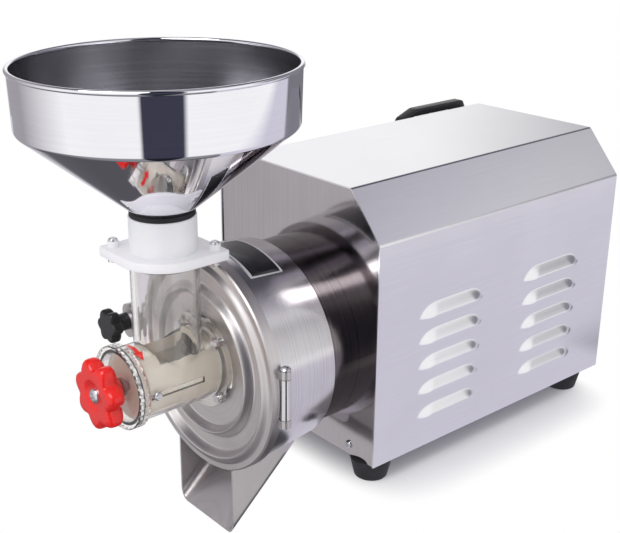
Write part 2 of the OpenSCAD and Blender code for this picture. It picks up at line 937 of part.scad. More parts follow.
module hinge_pin() {
    head = 3.5;
    reach = barrel_height / 2 + knuckle_height + gap;
    place() color([0.82, 0.82, 0.84])
        translate([hinge_x, hinge_y, shaft_height]) {
            translate([0, 0, -reach])
                cylinder(h = 2 * reach + gap, r = pin_radius);
            translate([0, 0, reach + gap])
                intersection() {
                    cylinder(h = head, r = knuckle_radius);
                    translate([0, 0, head - knuckle_radius - 1])
                        sphere(r = knuckle_radius + 1);
                }
        }
}

module shaft_seal() {
    place() color([0.12, 0.12, 0.12])
        ring(y_back - drum_wall, front_bearing, seal_radius, shaft_radius + run);
}

module blank_plate() {
    lean = plate_angle * 0.22;
    slant = (drum_front_radius - drum_back_radius) / drum_depth;
    rear = y_back - drum_depth * 0.3;
    front = rear - plate_length;
    rear_radius = drum_back_radius + slant * (y_back - rear);
    front_radius = drum_back_radius + slant * (y_back - front);
    place() color([0.08, 0.08, 0.08])
        on_shaft()
            rotate([0, 0, -90 - plate_angle / 2 + lean])
                rotate_extrude(angle = plate_angle)
                    polygon([
                        [front_radius, front],
                        [front_radius + plate_thickness, front],
                        [rear_radius + plate_thickness, rear],
                        [rear_radius, rear]
                    ]);
}

// The door's section as [radius, y] points, with two round ribs
function rib_points(crest, inner_foot, outer_foot) = [
    for (i = [0 : rib_steps])
        let (
            share = i / rib_steps,
            foot = share < 0.5 ? inner_foot : outer_foot,
            swell = (1 - cos(360 * share)) / 2
        )
            [crest + rib_half * (2 * share - 1), foot + (y_face - rib_height - foot) * swell]
];

module front_cover() {
    straight = cover_depth / 2;
    skirt = cover_radius - cover_wall;
    knuckle_low = barrel_height / 2 + gap;
    weld = cover_radius - cover_wall / 2;
    place() color([0.7, 0.69, 0.7])
        difference() {
            union() {
                turned(concat(
                    [[sleeve_radius + gap, cover_back], [sleeve_radius + gap, cover_front]],
                    rib_points(inner_rib, cover_front, cover_front),
                    rib_points(outer_rib, cover_front, y_face),
                    [
                        [cover_radius - 1.5, y_face],
                        [cover_radius, y_face + 1.5],
                        [cover_radius, y_joint - gap],
                        [skirt, y_joint - gap],
                        [skirt, cover_back]
                    ]
                ));
                difference() {
                    union() {
                        latch_ear(y_ear, y_joint - gap);
                        for (side = [0, 1])
                            translate([drum_back_radius, y_joint - straight, shaft_height])
                                mirror([0, 0, side])
                                    translate([0, 0, knuckle_low])
                                        cube([hinge_x - drum_back_radius, straight - gap, knuckle_height]);
                    }
                    ring(cover_back - cover_wall / 2, y_joint + cut, weld, 0);
                }
                for (side = [0, 1])
                    translate([hinge_x, hinge_y, shaft_height])
                        mirror([0, 0, side])
                            translate([0, 0, knuckle_low])
                                cylinder(h = knuckle_height, r = knuckle_radius);
            }
            translate([hinge_x, hinge_y, shaft_height - barrel_height / 2 - gap])
                cylinder(h = barrel_height + 2 * gap, r = knuckle_radius + gap);
            translate([hinge_x, hinge_y, shaft_height - barrel_height])
                cylinder(h = 2 * barrel_height, r = pin_radius + run);
            rod(latch_x, latch_z, y_ear - cut, y_joint + cut, stud_radius + run);
            around_shaft(4, feed_screw_ring, 45)
                rod(0, shaft_height, cover_front - cut, cover_back + cut, screw_shank + seat);
        }
}

module cover_gasket() {
    place() color([0.85, 0.84, 0.82])
        ring(cover_back, y_joint - gap, drum_front_radius - drum_wall, drum_front_radius - drum_rim);
}

module feed_body() {
    rim = 4;
    place() color([0.8, 0.79, 0.78])
        difference() {
            union() {
                ring(y_barrel, cover_front, barrel_radius, 0);
                ring(cover_front - feed_plate, cover_front, feed_flange, 0);
                translate([0, y_feed, shaft_height])
                    cylinder(h = tube_height, r = tube_radius);
                translate([0, y_feed, tube_top - rim])
                    cylinder(h = rim, r = tube_radius + 2);
                for (turn = [0, 180])
                    translate([0, y_feed, 0])
                        rotate([0, 0, turn]) {
                            translate([lug_offset, lug_offset, tube_top - feed_ear])
                                cylinder(h = feed_ear, r = lug_radius);
                            rotate([0, 0, 45])
                                translate([tube_bore + cut, -ear_web / 2, tube_top - feed_ear])
                                    cube([lug_offset * sqrt(2) - tube_bore - cut, ear_web, feed_ear]);
                        }
            }
            ring(y_barrel - cut, cover_front + cut, barrel_bore, 0);
            translate([0, y_feed, shaft_height])
                cylinder(h = tube_height + cut, r = tube_bore);
            translate([0, y_barrel + sleeve_setback, shaft_height - slot_width / 2])
                cube([barrel_radius + cut, slot_length, slot_width]);
            for (turn = [0, 180])
                translate([0, y_feed, 0])
                    rotate([0, 0, turn])
                        translate([lug_offset, lug_offset, tube_top - feed_ear - cut])
                            cylinder(h = feed_ear + 2 * cut, r = screw_shank + seat);
            around_shaft(4, feed_screw_ring, 45)
                rod(0, shaft_height, cover_front - feed_plate - cut, cover_front + cut, screw_shank + seat);
        }
}

module feed_screws() {
    place() color([0.78, 0.78, 0.8])
        around_shaft(4, feed_screw_ring, 45)
            pan_screw(0, shaft_height, cover_front - feed_plate, feed_plate + cover_wall);
}

// The seat's flange: round, with two square corners where its screws are
module flange_outline() {
    circle(r = flange_half);
    translate([-flange_half, -flange_half])
        square(flange_half);
    square(flange_half);
}

module hopper_seat() {
    place() color([0.96, 0.96, 0.97])
        translate([0, y_feed, tube_top])
            difference() {
                union() {
                    linear_extrude(flange_plate)
                        flange_outline();
                    cylinder(h = flange_plate + seat_height, r = seat_radius);
                    for (side = [-1, 1])
                        translate([side * lug_offset, side * lug_offset, 0])
                            cylinder(h = flange_plate + lug_height, r = lug_radius);
                }
                translate([0, 0, -cut])
                    cylinder(h = flange_plate + seat_height + 2 * cut, r = seat_bore);
                for (side = [-1, 1])
                    translate([side * lug_offset, side * lug_offset, -cut])
                        cylinder(h = flange_plate + lug_height + 2 * cut, r = screw_shank + seat);
            }
}

module seat_screws() {
    grip = flange_plate + lug_height;
    place() color([0.8, 0.8, 0.82])
        for (side = [-1, 1])
            translate([side * lug_offset, y_feed + side * lug_offset, tube_top + grip]) {
                cylinder(h = screw_crown, r = screw_head);
                translate([0, 0, -grip - feed_ear])
                    cylinder(h = grip + feed_ear, r = screw_shank);
            }
}

module end_cap() {
    place() color([0.82, 0.78, 0.76])
        difference() {
            turned([
                [spindle_radius + run, y_cap],
                [cap_radius - 1, y_cap],
                [cap_radius, y_cap + 1],
                [cap_radius, y_barrel + cap_skirt],
                [barrel_radius, y_barrel + cap_skirt],
                [barrel_radius, y_barrel],
                [spindle_radius + run, y_barrel]
            ]);
            around_shaft(cap_grooves, cap_radius + cap_groove / 3, 0)
                rod(0, shaft_height, y_cap - cut, y_barrel + cap_skirt + cut, cap_groove);
        }
}

module adjusting_sleeve() {
    window = tube_bore + travel_coarse;
    place() color([0.9, 0.87, 0.8])
        difference() {
            turned([
                [spindle_radius + run, y_sleeve],
                [sleeve_radius, y_sleeve],
                [sleeve_radius, y_carrier],
                [carrier_radius, y_carrier],
                [carrier_radius, y_static],
                [sleeve_bore, y_static],
                [sleeve_bore, y_sleeve + nut_plate],
                [spindle_radius + run, y_sleeve + nut_plate]
            ]);
            translate([-sleeve_bore + 2, y_feed - window + 6, shaft_height + 4])
                cube([2 * sleeve_bore - 4, 2 * window - 12, barrel_radius]);
            translate([0, guide_y, shaft_height])
                rotate([0, 90, 0])
                    translate([0, 0, sleeve_bore - 4])
                        cylinder(h = barrel_radius, r = screw_shank + seat);
            around_shaft(4, disc_screw_ring, 0) {
                rod(0, shaft_height, y_carrier - cut, y_static + cut, screw_shank + seat);
                countersink(seat);
            }
        }
}

// Slanted furrows cut into a grinding face that lies on y_surface
module furrow_cuts(y_surface) {
    reach = disc_radius - land_width - sleeve_bore;
    on_shaft()
        for (i = [0 : furrows - 1])
            rotate([0, 0, i * 360 / furrows])
                translate([sleeve_bore + cut, sleeve_bore / 3, y_surface - furrow_depth])
                    cube([reach - cut, furrow_width, 2 * furrow_depth]);
}

module static_disc() {
    place() color([0.42, 0.41, 0.41])
        difference() {
            ring(y_static, y_static_back, disc_radius, sleeve_bore);
            furrow_cuts(y_static_back);
            around_shaft(4, disc_screw_ring, 0)
                rod(0, shaft_height, y_static - cut, y_static + disc_screw_depth, screw_shank + seat);
        }
}

// A countersunk screw through the carrier into the disc
module disc_screws() {
    place() color([0.75, 0.75, 0.77])
        around_shaft(4, disc_screw_ring, 0) {
            rod(0, shaft_height, y_carrier, y_static + disc_screw_depth - seat, screw_shank);
            countersink(0);
        }
}

module countersink(room) {
    translate([0, y_carrier, shaft_height])
        rotate([-90, 0, 0])
            cylinder(h = screw_head - screw_shank, r1 = screw_head + room, r2 = screw_shank + room);
}

module guide_screw() {
    place() color([0.75, 0.75, 0.77])
        translate([0, guide_y, shaft_height])
            rotate([0, 90, 0]) {
                translate([0, 0, sleeve_bore - 3])
                    cylinder(h = barrel_radius + gap - sleeve_bore + 3, r = screw_shank);
                translate([0, 0, barrel_radius + gap])
                    cylinder(h = screw_crown, r = screw_head);
            }
}

module moving_disc() {
    place() color([0.42, 0.41, 0.41])
        difference() {
            turned([
                [disc_bore, y_moving],
                [disc_radius, y_moving],
                [disc_radius, y_moving_back],
                [disc_hub_radius, y_moving_back],
                [disc_hub_radius, y_moving_back + disc_hub],
                [disc_bore, y_moving_back + disc_hub]
            ]);
            furrow_cuts(y_moving);
        }
}

module feed_screw() {
    base = 4;
    place() color([0.72, 0.72, 0.74]) {
        ring(y_moving - base, y_moving, screw_radius, 0);
        ring(y_moving - screw_length, y_moving - base, core_radius, 0);
        translate([0, y_moving - base / 2, shaft_height])
            rotate([90, 0, 0])
                linear_extrude(screw_length - base / 2 - 2, twist = 360 * flight_turns, slices = 60, $fn = 24)
                    translate([core_radius - 2, -flight / 2])
                        square([screw_radius - core_radius + 2, flight]);
    }
}

// Outline of a lobed wheel
module lobed(count, radius, lobe) {
    circle(r = radius - lobe);
    for (i = [0 : count - 1])
        rotate([0, 0, i * 360 / count])
            translate([radius - lobe, 0])
                circle(r = lobe);
}

module fineness_knob() {
    place() color([0.9, 0.2, 0.18])
        difference() {
            union() {
                on_shaft()
                    translate([0, 0, y_wheel_front])
                        rotate([0, 0, -90])
                            linear_extrude(wheel_thickness)
                                lobed(wheel_lobes, wheel_radius, lobe_radius);
                ring(y_wheel, y_cap - gap, collar_radius + 4, 0);
            }
            ring(y_wheel_front - cut, y_wheel_front + recess_depth, recess_radius, 0);
            ring(y_wheel_front, y_cap, spindle_radius, 0);
        }
}

module adjusting_spindle() {
    front = y_wheel_front + recess_depth;
    place() color([0.7, 0.7, 0.72])
        turned([
            [0, front + 10],
            [screw_shank, front + 10],
            [screw_shank, front],
            [spindle_radius, front],
            [spindle_radius, y_barrel + gap],
            [collar_radius, y_barrel + gap],
            [collar_radius, y_barrel + gap + collar_plate],
            [spindle_radius, y_barrel + gap + collar_plate],
            [spindle_radius, spindle_end],
            [0, spindle_end]
        ]);
}

module knob_screw() {
    front = y_wheel_front + recess_depth;
    place() color([0.82, 0.82, 0.84]) {
        rod(0, shaft_height, front - screw_crown, front, screw_head + 3);
        rod(0, shaft_height, front, front + 10, screw_shank);
    }
}

module latch_washer() {
    place() color([0.72, 0.72, 0.74])
        translate([latch_x, 0, latch_z])
            rotate([-90, 0, 0])
                translate([0, 0, y_washer])
                    difference() {
                        cylinder(h = washer_plate, r = washer_radius);
                        translate([0, 0, -cut])
                            cylinder(h = washer_plate + 2 * cut, r = stud_radius + run);
                    }
}

module latch_knob() {
    lobe = clamp_radius * 0.32;
    place() color([0.09, 0.09, 0.1])
        difference() {
            union() {
                translate([latch_x, y_clamp, latch_z])
                    rotate([90, 0, 0])
                        linear_extrude(clamp_thickness)
                            lobed(6, clamp_radius, lobe);
                rod(latch_x, latch_z, y_clamp, y_washer - seat, washer_radius - 1);
            }
            rod(latch_x, latch_z, y_clamp_front + 4, y_washer, stud_radius);
        }
}

module latch_stud() {
    place() color([0.72, 0.72, 0.74])
        rod(latch_x, latch_z, y_clamp_front + 4, y_joint + drum_ear - 2, stud_radius);
}

// Points of the bend between the hopper's cone and wall, outer face first
function hopper_turn(radius) = [
    for (i = [0 : bend_steps])
        let (turn = bend_start * (1 - i / bend_steps))
            bend_centre + radius * [cos(turn), sin(turn)]
];

function reversed(points) = [for (i = [len(points) - 1 : -1 : 0]) points[i]];

module hopper() {
    t = hopper_sheet;
    wire = rim_radius - rim_roll;
    spigot_end = seat_top + seat - spigot_length;
    inner_low = cone_low + t * (cone_slant - cone_height) / cone_out;
    place() color([0.86, 0.86, 0.88])
        translate([0, y_feed, 0])
            rotate_extrude() {
                polygon(concat(
                    [
                        [spigot_radius - t, spigot_end],
                        [spigot_radius, spigot_end],
                        [spigot_radius, cone_low]
                    ],
                    hopper_turn(hopper_bend),
                    [[wire + t / 2, rim_top - rim_roll], [wire - t / 2, rim_top - rim_roll]],
                    reversed(hopper_turn(hopper_bend - t)),
                    [[spigot_radius - t, inner_low]]
                ));
                translate([wire, rim_top - rim_roll])
                    circle(r = rim_roll, $fn = 32);
            }
}

module hopper_ring() {
    place() color([0.1, 0.1, 0.1])
        translate([0, y_feed, seat_top + seat])
            difference() {
                cylinder(h = ring_height, r = ring_radius);
                translate([0, 0, -cut])
                    cylinder(h = ring_height + 2 * cut, r = spigot_radius);
            }
}

module switch_body() {
    frame = 3;
    bezel = 2;
    deep = 20;
    place() color([0.08, 0.08, 0.09])
        difference() {
            union() {
                switch_cut(panel_rear - sheet - deep, panel_rear, 0);
                switch_cut(panel_rear, panel_rear + bezel, frame);
            }
            switch_cut(panel_rear - 9, panel_rear + bezel + cut, -frame);
            translate([switch_x, panel_rear - rocker_axis, switch_z])
                rotate([0, 90, 0])
                    cylinder(
                        h = switch_width - 2 * frame + 2 * (pivot_reach + gap),
                        r = pivot_radius + run,
                        center = true
                    );
        }
}

module switch_rocker() {
    wide = switch_width - 2 * 3 - 2 * gap;
    tall = switch_height - 2 * 3 - 4 * gap;
    place() color([0.75, 0.08, 0.07])
        translate([switch_x, panel_rear - rocker_axis, switch_z]) {
            rotate([0, 90, 0])
                cylinder(h = wide + 2 * (pivot_reach + gap), r = pivot_radius, center = true);
            rotate([rocker_tilt, 0, 0])
                along_x(-wide / 2, wide / 2)
                    polygon([
                        [-1, -tall / 4],
                        [-1, tall / 4],
                        [3, tall / 2 - 1],
                        [8, tall / 2 - 1],
                        [6, 0],
                        [8, -tall / 2 + 1],
                        [3, -tall / 2 + 1]
                    ]);
        }
}

module cable_gland() {
    thread = gland_radius - 3;
    place() color([0.1, 0.1, 0.1])
        difference() {
            union() {
                rod(gland_x, gland_z, panel_rear - sheet - 10, panel_rear, thread);
                translate([gland_x, panel_rear, gland_z])
                    rotate([-90, 0, 0]) {
                        cylinder(h = gland_length * 0.35, r = gland_radius + 2, $fn = 6);
                        cylinder(h = gland_length, r1 = gland_radius, r2 = gland_radius - 2);
                    }
                translate([gland_x, panel_rear - sheet - 6, gland_z])
                    rotate([-90, 0, 0])
                        cylinder(h = 6, r = gland_radius + 1, $fn = 6);
            }
            rod(gland_x, gland_z, panel_rear - sheet - 10 - cut, panel_rear + 2, gland_bore + 1);
            rod(gland_x, gland_z, panel_rear, rear_end + cut, gland_bore);
        }
}

base_plate();
housing_cover();
side_panels();
front_panel();
rear_panel();
rubber_feet();
foot_bolts();
carry_handle();
handle_screws();
panel_screws();
motor_casing();
motor_cradle();
drum_neck();
rear_bell();
stator();
bearings();
run_capacitor();
grinding_drum();
outlet_chute();
drum_screws();
hinge_pin();
shaft_seal();
blank_plate();
switch_body();
cable_gland();
motor_shaft();
rotor_core();
cooling_fan();
moving_disc();
feed_screw();
front_cover();
cover_gasket();
feed_body();
feed_screws();
hopper_seat();
seat_screws();
end_cap();
adjusting_sleeve();
static_disc();
disc_screws();
guide_screw();
fineness_knob();
adjusting_spindle();
knob_screw();
latch_washer();
latch_knob();
latch_stud();
hopper();
hopper_ring();
switch_rocker();
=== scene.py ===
# %% [markdown]
# A table-top nut mill, dressed around its CAD solids.
# The CAD model is loaded as a fixed frame: every node already sits in its place, in metres.
# This lesson keeps the nodes whose shape is right, gives them finishes, and models the pieces
# whose rounding or pressing the CAD solids leave out.

# %% Load the frame
import json
from math import atan2, cos, hypot, pi, radians, sin

import bmesh
import bpy
from mathutils import Matrix, Vector


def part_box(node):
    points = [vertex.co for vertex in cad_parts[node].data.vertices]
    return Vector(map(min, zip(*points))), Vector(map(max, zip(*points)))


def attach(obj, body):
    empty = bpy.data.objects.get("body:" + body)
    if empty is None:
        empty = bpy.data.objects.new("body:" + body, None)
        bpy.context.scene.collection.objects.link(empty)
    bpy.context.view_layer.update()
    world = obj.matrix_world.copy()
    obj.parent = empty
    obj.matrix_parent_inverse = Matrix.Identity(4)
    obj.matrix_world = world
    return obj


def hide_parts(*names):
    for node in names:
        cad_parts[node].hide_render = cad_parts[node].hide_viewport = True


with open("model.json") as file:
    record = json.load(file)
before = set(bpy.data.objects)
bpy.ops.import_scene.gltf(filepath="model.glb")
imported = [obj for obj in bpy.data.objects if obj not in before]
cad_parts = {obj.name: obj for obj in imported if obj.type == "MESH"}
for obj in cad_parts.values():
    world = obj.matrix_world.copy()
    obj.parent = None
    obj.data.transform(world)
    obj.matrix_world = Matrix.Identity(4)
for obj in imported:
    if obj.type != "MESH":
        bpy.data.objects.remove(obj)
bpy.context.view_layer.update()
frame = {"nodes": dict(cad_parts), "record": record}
nodes = frame["nodes"]

# %% [markdown]
# Pieces are easiest to think about in the machine's own millimetres: the shaft runs along Y at
# x = 0, the front edge of the hood is y = 0 and the rubber feet stand on z = 0.
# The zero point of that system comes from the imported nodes, so a piece lands where the solids are.

# %% The machine's own zero point
MM = 0.001
casing_low, casing_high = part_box("motor_casing")
ZERO = Vector((
    (casing_low.x + casing_high.x) / 2,
    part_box("housing_cover")[0].y,
    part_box("rubber_feet")[0].z,
))
SHAFT = (casing_low.z + casing_high.z) / 2 / MM - ZERO.z / MM
hopper_low, hopper_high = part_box("hopper")
FEED = ((hopper_low.y + hopper_high.y) / 2 - ZERO.y) / MM


def spot(x, y, z):
    """A point of the machine in millimetres, as a frame point in metres."""
    return ZERO + Vector((x, y, z)) * MM


print("shaft height", round(SHAFT, 2), "feed axis", round(FEED, 2))

# %% [markdown]
# The camera stands where the photographer stood: between the front and the hinge side, looking down
# by 21 degrees. The values come from fitting a pinhole camera to the photograph, mainly to the box
# corners and the hopper's rim. The frame is taken as 620 by 533 pixels, and the small sideways
# shift is the photograph's own crop.

# %% Camera
PHOTO_WIDE, PHOTO_TALL = 620, 533
FOCAL_PIXELS, CENTRE_X, CENTRE_Y = 1083.7, 262.445, 264.838
SENSOR_WIDE = 36
VIEW_TURN, VIEW_DOWN, VIEW_ROLL = radians(51.545), radians(20.89), radians(-0.491)
VIEW_TARGET, VIEW_DISTANCE = (0, -40, 210), 1059.9
back = Vector((
    sin(VIEW_TURN) * cos(VIEW_DOWN), -cos(VIEW_TURN) * cos(VIEW_DOWN), sin(VIEW_DOWN)))
right = Vector((cos(VIEW_TURN), sin(VIEW_TURN), 0))
up = back.cross(right)
right, up = (right * cos(VIEW_ROLL) + up * sin(VIEW_ROLL),
             up * cos(VIEW_ROLL) - right * sin(VIEW_ROLL))
eye = spot(*VIEW_TARGET) + back * VIEW_DISTANCE * MM
camera = bpy.data.objects.new("camera", bpy.data.cameras.new("camera"))
camera.matrix_world = Matrix((
    (right.x, up.x, back.x, eye.x),
    (right.y, up.y, back.y, eye.y),
    (right.z, up.z, back.z, eye.z),
    (0, 0, 0, 1),
))
camera.data.sensor_fit = "HORIZONTAL"
camera.data.sensor_width = SENSOR_WIDE
camera.data.lens = FOCAL_PIXELS / PHOTO_WIDE * SENSOR_WIDE
camera.data.shift_x = (PHOTO_WIDE / 2 - CENTRE_X) / PHOTO_WIDE
camera.data.shift_y = (CENTRE_Y - PHOTO_TALL / 2) / PHOTO_WIDE
camera.data.clip_end = 20
bpy.context.scene.collection.objects.link(camera)
bpy.context.scene.camera = camera
print("camera at", [round(v, 3) for v in eye])

# %% [markdown]
# Every finish is written as sRGB hex, the way a colour is read off a picture.
# Blender calculates in linear light, so one function converts, and one function adds a node with
# its settings, its links and, on a colour ramp, its stops. All materials below use just these two.

# %% Colour and node helpers
def srgb(code):
    """An sRGB hex colour as linear RGBA."""
    parts = [int(code[i:i + 2], 16) / 255 for i in (1, 3, 5)]
    linear = [c / 12.92 if c <= 0.04045 else ((c + 0.055) / 1.055) ** 2.4 for c in parts]
    return (*linear, 1.0)


def node(tree, kind, inputs=None, stops=(), **settings):
    """Adds a node: settings are its properties, inputs are values or the sockets to link from."""
    made = tree.nodes.new(kind)
    for key, value in settings.items():
        setattr(made, key, value)
    for key, value in (inputs or {}).items():
        if isinstance(value, bpy.types.NodeSocket):
            tree.links.new(value, made.inputs[key])
        else:
            made.inputs[key].default_value = value
    if stops:
        band = made.color_ramp.elements
        while len(band) < len(stops):
            band.new(0.5)
        for element, (position, colour) in zip(band, stops):
            element.position, element.color = position, colour
    return made


# A Mix node has sockets for every data type. These are its two colours and the colour it gives.
MIX_A, MIX_B, MIX_OUT = 6, 7, 2
WHITE = srgb("#FFFFFF")
print("steel grey in linear light", [round(c, 3) for c in srgb("#C8C5D4")])

# %% [markdown]
# The photograph was lit by large white panels with dark gaps between them, which is what polished
# steel needs to look like steel. A world shader can paint such a studio by direction, so the first
# step is to turn a direction into two numbers between 0 and 1: how far around the machine it
# points, and how high.

# %% Directions of the studio
world = bpy.data.worlds.new("studio")
bpy.context.scene.world = world
world.use_nodes = True
sky = world.node_tree
sky.nodes.clear()
direction = node(sky, "ShaderNodeSeparateXYZ",
                 {"Vector": node(sky, "ShaderNodeTexCoord").outputs["Generated"]})
flipped = node(sky, "ShaderNodeMath", {0: direction.outputs["Y"], 1: -1.0}, operation="MULTIPLY")
turn = node(sky, "ShaderNodeMath", {0: direction.outputs["X"], 1: flipped.outputs[0]},
            operation="ARCTAN2")
around = node(sky, "ShaderNodeMapRange",
              {"Value": turn.outputs[0], "From Min": -pi, "From Max": pi})
height = node(sky, "ShaderNodeMapRange",
              {"Value": direction.outputs["Z"], "From Min": -1.0, "From Max": 1.0})


def facing(degrees):
    """Place on the azimuth ramp: 0 degrees looks at the handwheel, 90 degrees at the hinge side."""
    return (degrees + 180) / 360


def tall(degrees):
    """Place on the height ramp for an elevation."""
    return (sin(radians(degrees)) + 1) / 2


print("hinge side at", facing(90), "and horizon at", tall(0))

# %% [markdown]
# The azimuth gives the panels and gaps, the height gives a grey belt below the ceiling and a darker
# floor. Beside the machine's rear the white panel hangs high, and the room below it is dark: the
# louvres show that step.
# Only shiny surfaces see these panels. The camera sees white, and matt surfaces get one level.

# %% Studio world
GREY, DUSK, NAVY, GLOOM = (srgb(c) for c in ("#A4A1A6", "#86858C", "#3E3E4E", "#77767C"))
MATT_LEVEL = srgb("#E8E8EA")
PANEL_FOOT, PANEL_FULL = radians(22), radians(30)
ring = [
    (facing(-180), DUSK), (facing(-151), DUSK), (facing(-138), WHITE), (facing(-116), WHITE),
    (facing(-102), GREY), (facing(-72), GREY), (facing(-18), WHITE), (facing(42), WHITE),
    (facing(45), NAVY), (facing(76), NAVY), (facing(80), WHITE)]
low_ring = node(sky, "ShaderNodeValToRGB", {"Fac": around.outputs[0]},
                stops=[*ring, (facing(131), WHITE), (facing(147), DUSK)])
high_ring = node(sky, "ShaderNodeValToRGB", {"Fac": around.outputs[0]},
                 stops=[*ring, (facing(150), WHITE), (facing(176), DUSK)])
upper = node(sky, "ShaderNodeMapRange", {
    "Value": direction.outputs["Z"], "From Min": sin(PANEL_FOOT), "From Max": sin(PANEL_FULL)})
panels = node(sky, "ShaderNodeMix", {
    "Factor": upper.outputs[0], MIX_A: low_ring.outputs["Color"],
    MIX_B: high_ring.outputs["Color"]}, data_type="RGBA")
ceiling = node(sky, "ShaderNodeValToRGB", {"Fac": height.outputs[0]}, stops=[
    (tall(-52), srgb("#8C8C90")), (tall(-36), srgb("#9C9CA0")), (tall(-30), WHITE),
    (tall(26), WHITE), (tall(38), srgb("#C2C0CB")), (tall(54), GLOOM),
    (tall(70), srgb("#B0B0B4"))])
studio = node(sky, "ShaderNodeMix", {
    "Factor": 1.0, MIX_A: panels.outputs[MIX_OUT], MIX_B: ceiling.outputs["Color"]},
    data_type="RGBA", blend_type="MULTIPLY")
rays = node(sky, "ShaderNodeLightPath")
shiny = node(sky, "ShaderNodeMix", {
    "Factor": rays.outputs["Is Glossy Ray"], MIX_A: MATT_LEVEL, MIX_B: studio.outputs[MIX_OUT]},
    data_type="RGBA")
clear_view = node(sky, "ShaderNodeMath", {
    0: rays.outputs["Is Camera Ray"], 1: rays.outputs["Is Transmission Ray"]}, operation="MAXIMUM")
shown = node(sky, "ShaderNodeMix", {
    "Factor": clear_view.outputs[0], MIX_A: shiny.outputs[MIX_OUT], MIX_B: WHITE},
    data_type="RGBA")
glow = node(sky, "ShaderNodeBackground", {"Color": shown.outputs[MIX_OUT], "Strength": 1.0})
node(sky, "ShaderNodeOutputWorld", {"Surface": glow.outputs[0]})
bpy.context.scene.view_settings.view_transform = "Standard"
print("world nodes", len(sky.nodes))

# %% [markdown]
# One large soft lamp stands high on the handwheel's side. It gives the plastics a soft highlight
# and the table a direction of shadow. It stays weak, so that colours keep the value they are
# written with.

# %% Soft lamp
LAMP_WIDE, LAMP_WATTS = 0.9, 9
LAMP_PLACE, LAMP_AIM = spot(250, -900, 1250), spot(0, 0, 150)
lamp = bpy.data.objects.new("soft_lamp", bpy.data.lights.new("soft_lamp", "AREA"))
lamp.data.shape = "DISK"
lamp.data.size = LAMP_WIDE
lamp.data.energy = LAMP_WATTS
lamp.location = LAMP_PLACE
lamp.rotation_euler = (LAMP_AIM - lamp.location).to_track_quat("-Z", "Y").to_euler()
bpy.context.scene.collection.objects.link(lamp)
print("lamp", lamp.data.energy, "W")

# %% [markdown]
# The chute's lip hangs lower than the feet, so the machine stands at the edge of a table.
# The table top is one pale sheet whose front edge ends behind the chute. It lies a hair below the
# feet, so that no two faces share one plane.

# %% Table top
TABLE_EDGE, TABLE_DROP = -24, 0.2 * MM
TABLE_HALF_WIDE, TABLE_HALF_LONG = 1.6, 1.2
bm = bmesh.new()
bmesh.ops.create_grid(bm, x_segments=1, y_segments=1, size=1)
bmesh.ops.scale(bm, vec=(TABLE_HALF_WIDE, TABLE_HALF_LONG, 1), verts=bm.verts)
bmesh.ops.translate(
    bm, vec=spot(0, TABLE_EDGE, 0) + Vector((0, TABLE_HALF_LONG, -TABLE_DROP)), verts=bm.verts)
table_mesh = bpy.data.meshes.new("table_top")
bm.to_mesh(table_mesh)
bm.free()
table_top = bpy.data.objects.new("table_top", table_mesh)
bpy.context.scene.collection.objects.link(table_top)
print("table top at z =", round(table_mesh.vertices[0].co.z, 4))

# %% [markdown]
# Close to the machine the table is matt and keeps the shadow. Further out it fades to the white
# that the camera sees behind everything. The fade follows a rounded rectangle around the box.
# What steel mirrors of the table is painted: a cool, pale grey, painted darker as shade behind the
# machine and white far out on its hinge side.

# %% Finish: table top
SHADOW_MIDDLE, SHADOW_HALF_WIDE, SHADOW_HALF_LONG = spot(0, 170, 0), 0.18, 0.19
SQUARENESS = 6.0
matt = bpy.data.materials.new("matt_white_table")
matt.use_nodes = True
tree = matt.node_tree
tree.nodes.clear()
place = node(tree, "ShaderNodeTexCoord").outputs["Object"]
offset = node(tree, "ShaderNodeVectorMath", {0: place, 1: SHADOW_MIDDLE}, operation="SUBTRACT")
shape = node(tree, "ShaderNodeVectorMath", {
    0: offset.outputs[0], 1: (1 / SHADOW_HALF_WIDE, 1 / SHADOW_HALF_LONG, 0)},
    operation="MULTIPLY")
parts = node(tree, "ShaderNodeSeparateXYZ", {"Vector": shape.outputs[0]})
powers = []
for axis in ("X", "Y"):
    far = node(tree, "ShaderNodeMath", {0: parts.outputs[axis]}, operation="ABSOLUTE")
    powers.append(node(tree, "ShaderNodeMath", {0: far.outputs[0], 1: SQUARENESS},
                       operation="POWER").outputs[0])
reach = node(tree, "ShaderNodeMath", {0: powers[0], 1: powers[1]}, operation="ADD")
fade = node(tree, "ShaderNodeMapRange", {
    "Value": reach.outputs[0], "From Min": 0.0, "From Max": 1.0}, interpolation_type="SMOOTHSTEP")
rays = node(tree, "ShaderNodeLightPath")
faded = node(tree, "ShaderNodeMath", {0: fade.outputs[0], 1: rays.outputs["Is Camera Ray"]},
             operation="MULTIPLY")
through = node(tree, "ShaderNodeMath", {
    0: rays.outputs["Is Glossy Ray"], 1: rays.outputs["Is Transmission Ray"]}, operation="MAXIMUM")
unseen = node(tree, "ShaderNodeMath", {0: faded.outputs[0], 1: through.outputs[0]},
              operation="MAXIMUM")
paint = node(tree, "ShaderNodeBsdfDiffuse", {"Color": srgb("#F4F4F6")})
# Painted reflection: glossy rays see the table as a grey painted darker behind the machine and white
# far out on the hinge side, instead of the lit table.
aside = node(tree, "ShaderNodeMapRange", {
    "Value": parts.outputs["X"], "From Min": 0.8, "From Max": 4.8})
behind = node(tree, "ShaderNodeMapRange", {
    "Value": parts.outputs["Y"], "From Min": 1.7, "From Max": 1.3, "To Max": 0.12})
lit = node(tree, "ShaderNodeMath", {0: aside.outputs[0], 1: behind.outputs[0]},
           operation="MAXIMUM")
painted_reflection_ramp = node(tree, "ShaderNodeValToRGB", {"Fac": lit.outputs[0]}, stops=[
    (0.0, srgb("#7C7B82")), (0.12, srgb("#D4D1DE")), (0.66, srgb("#D4D1DE")), (1.0, WHITE)])
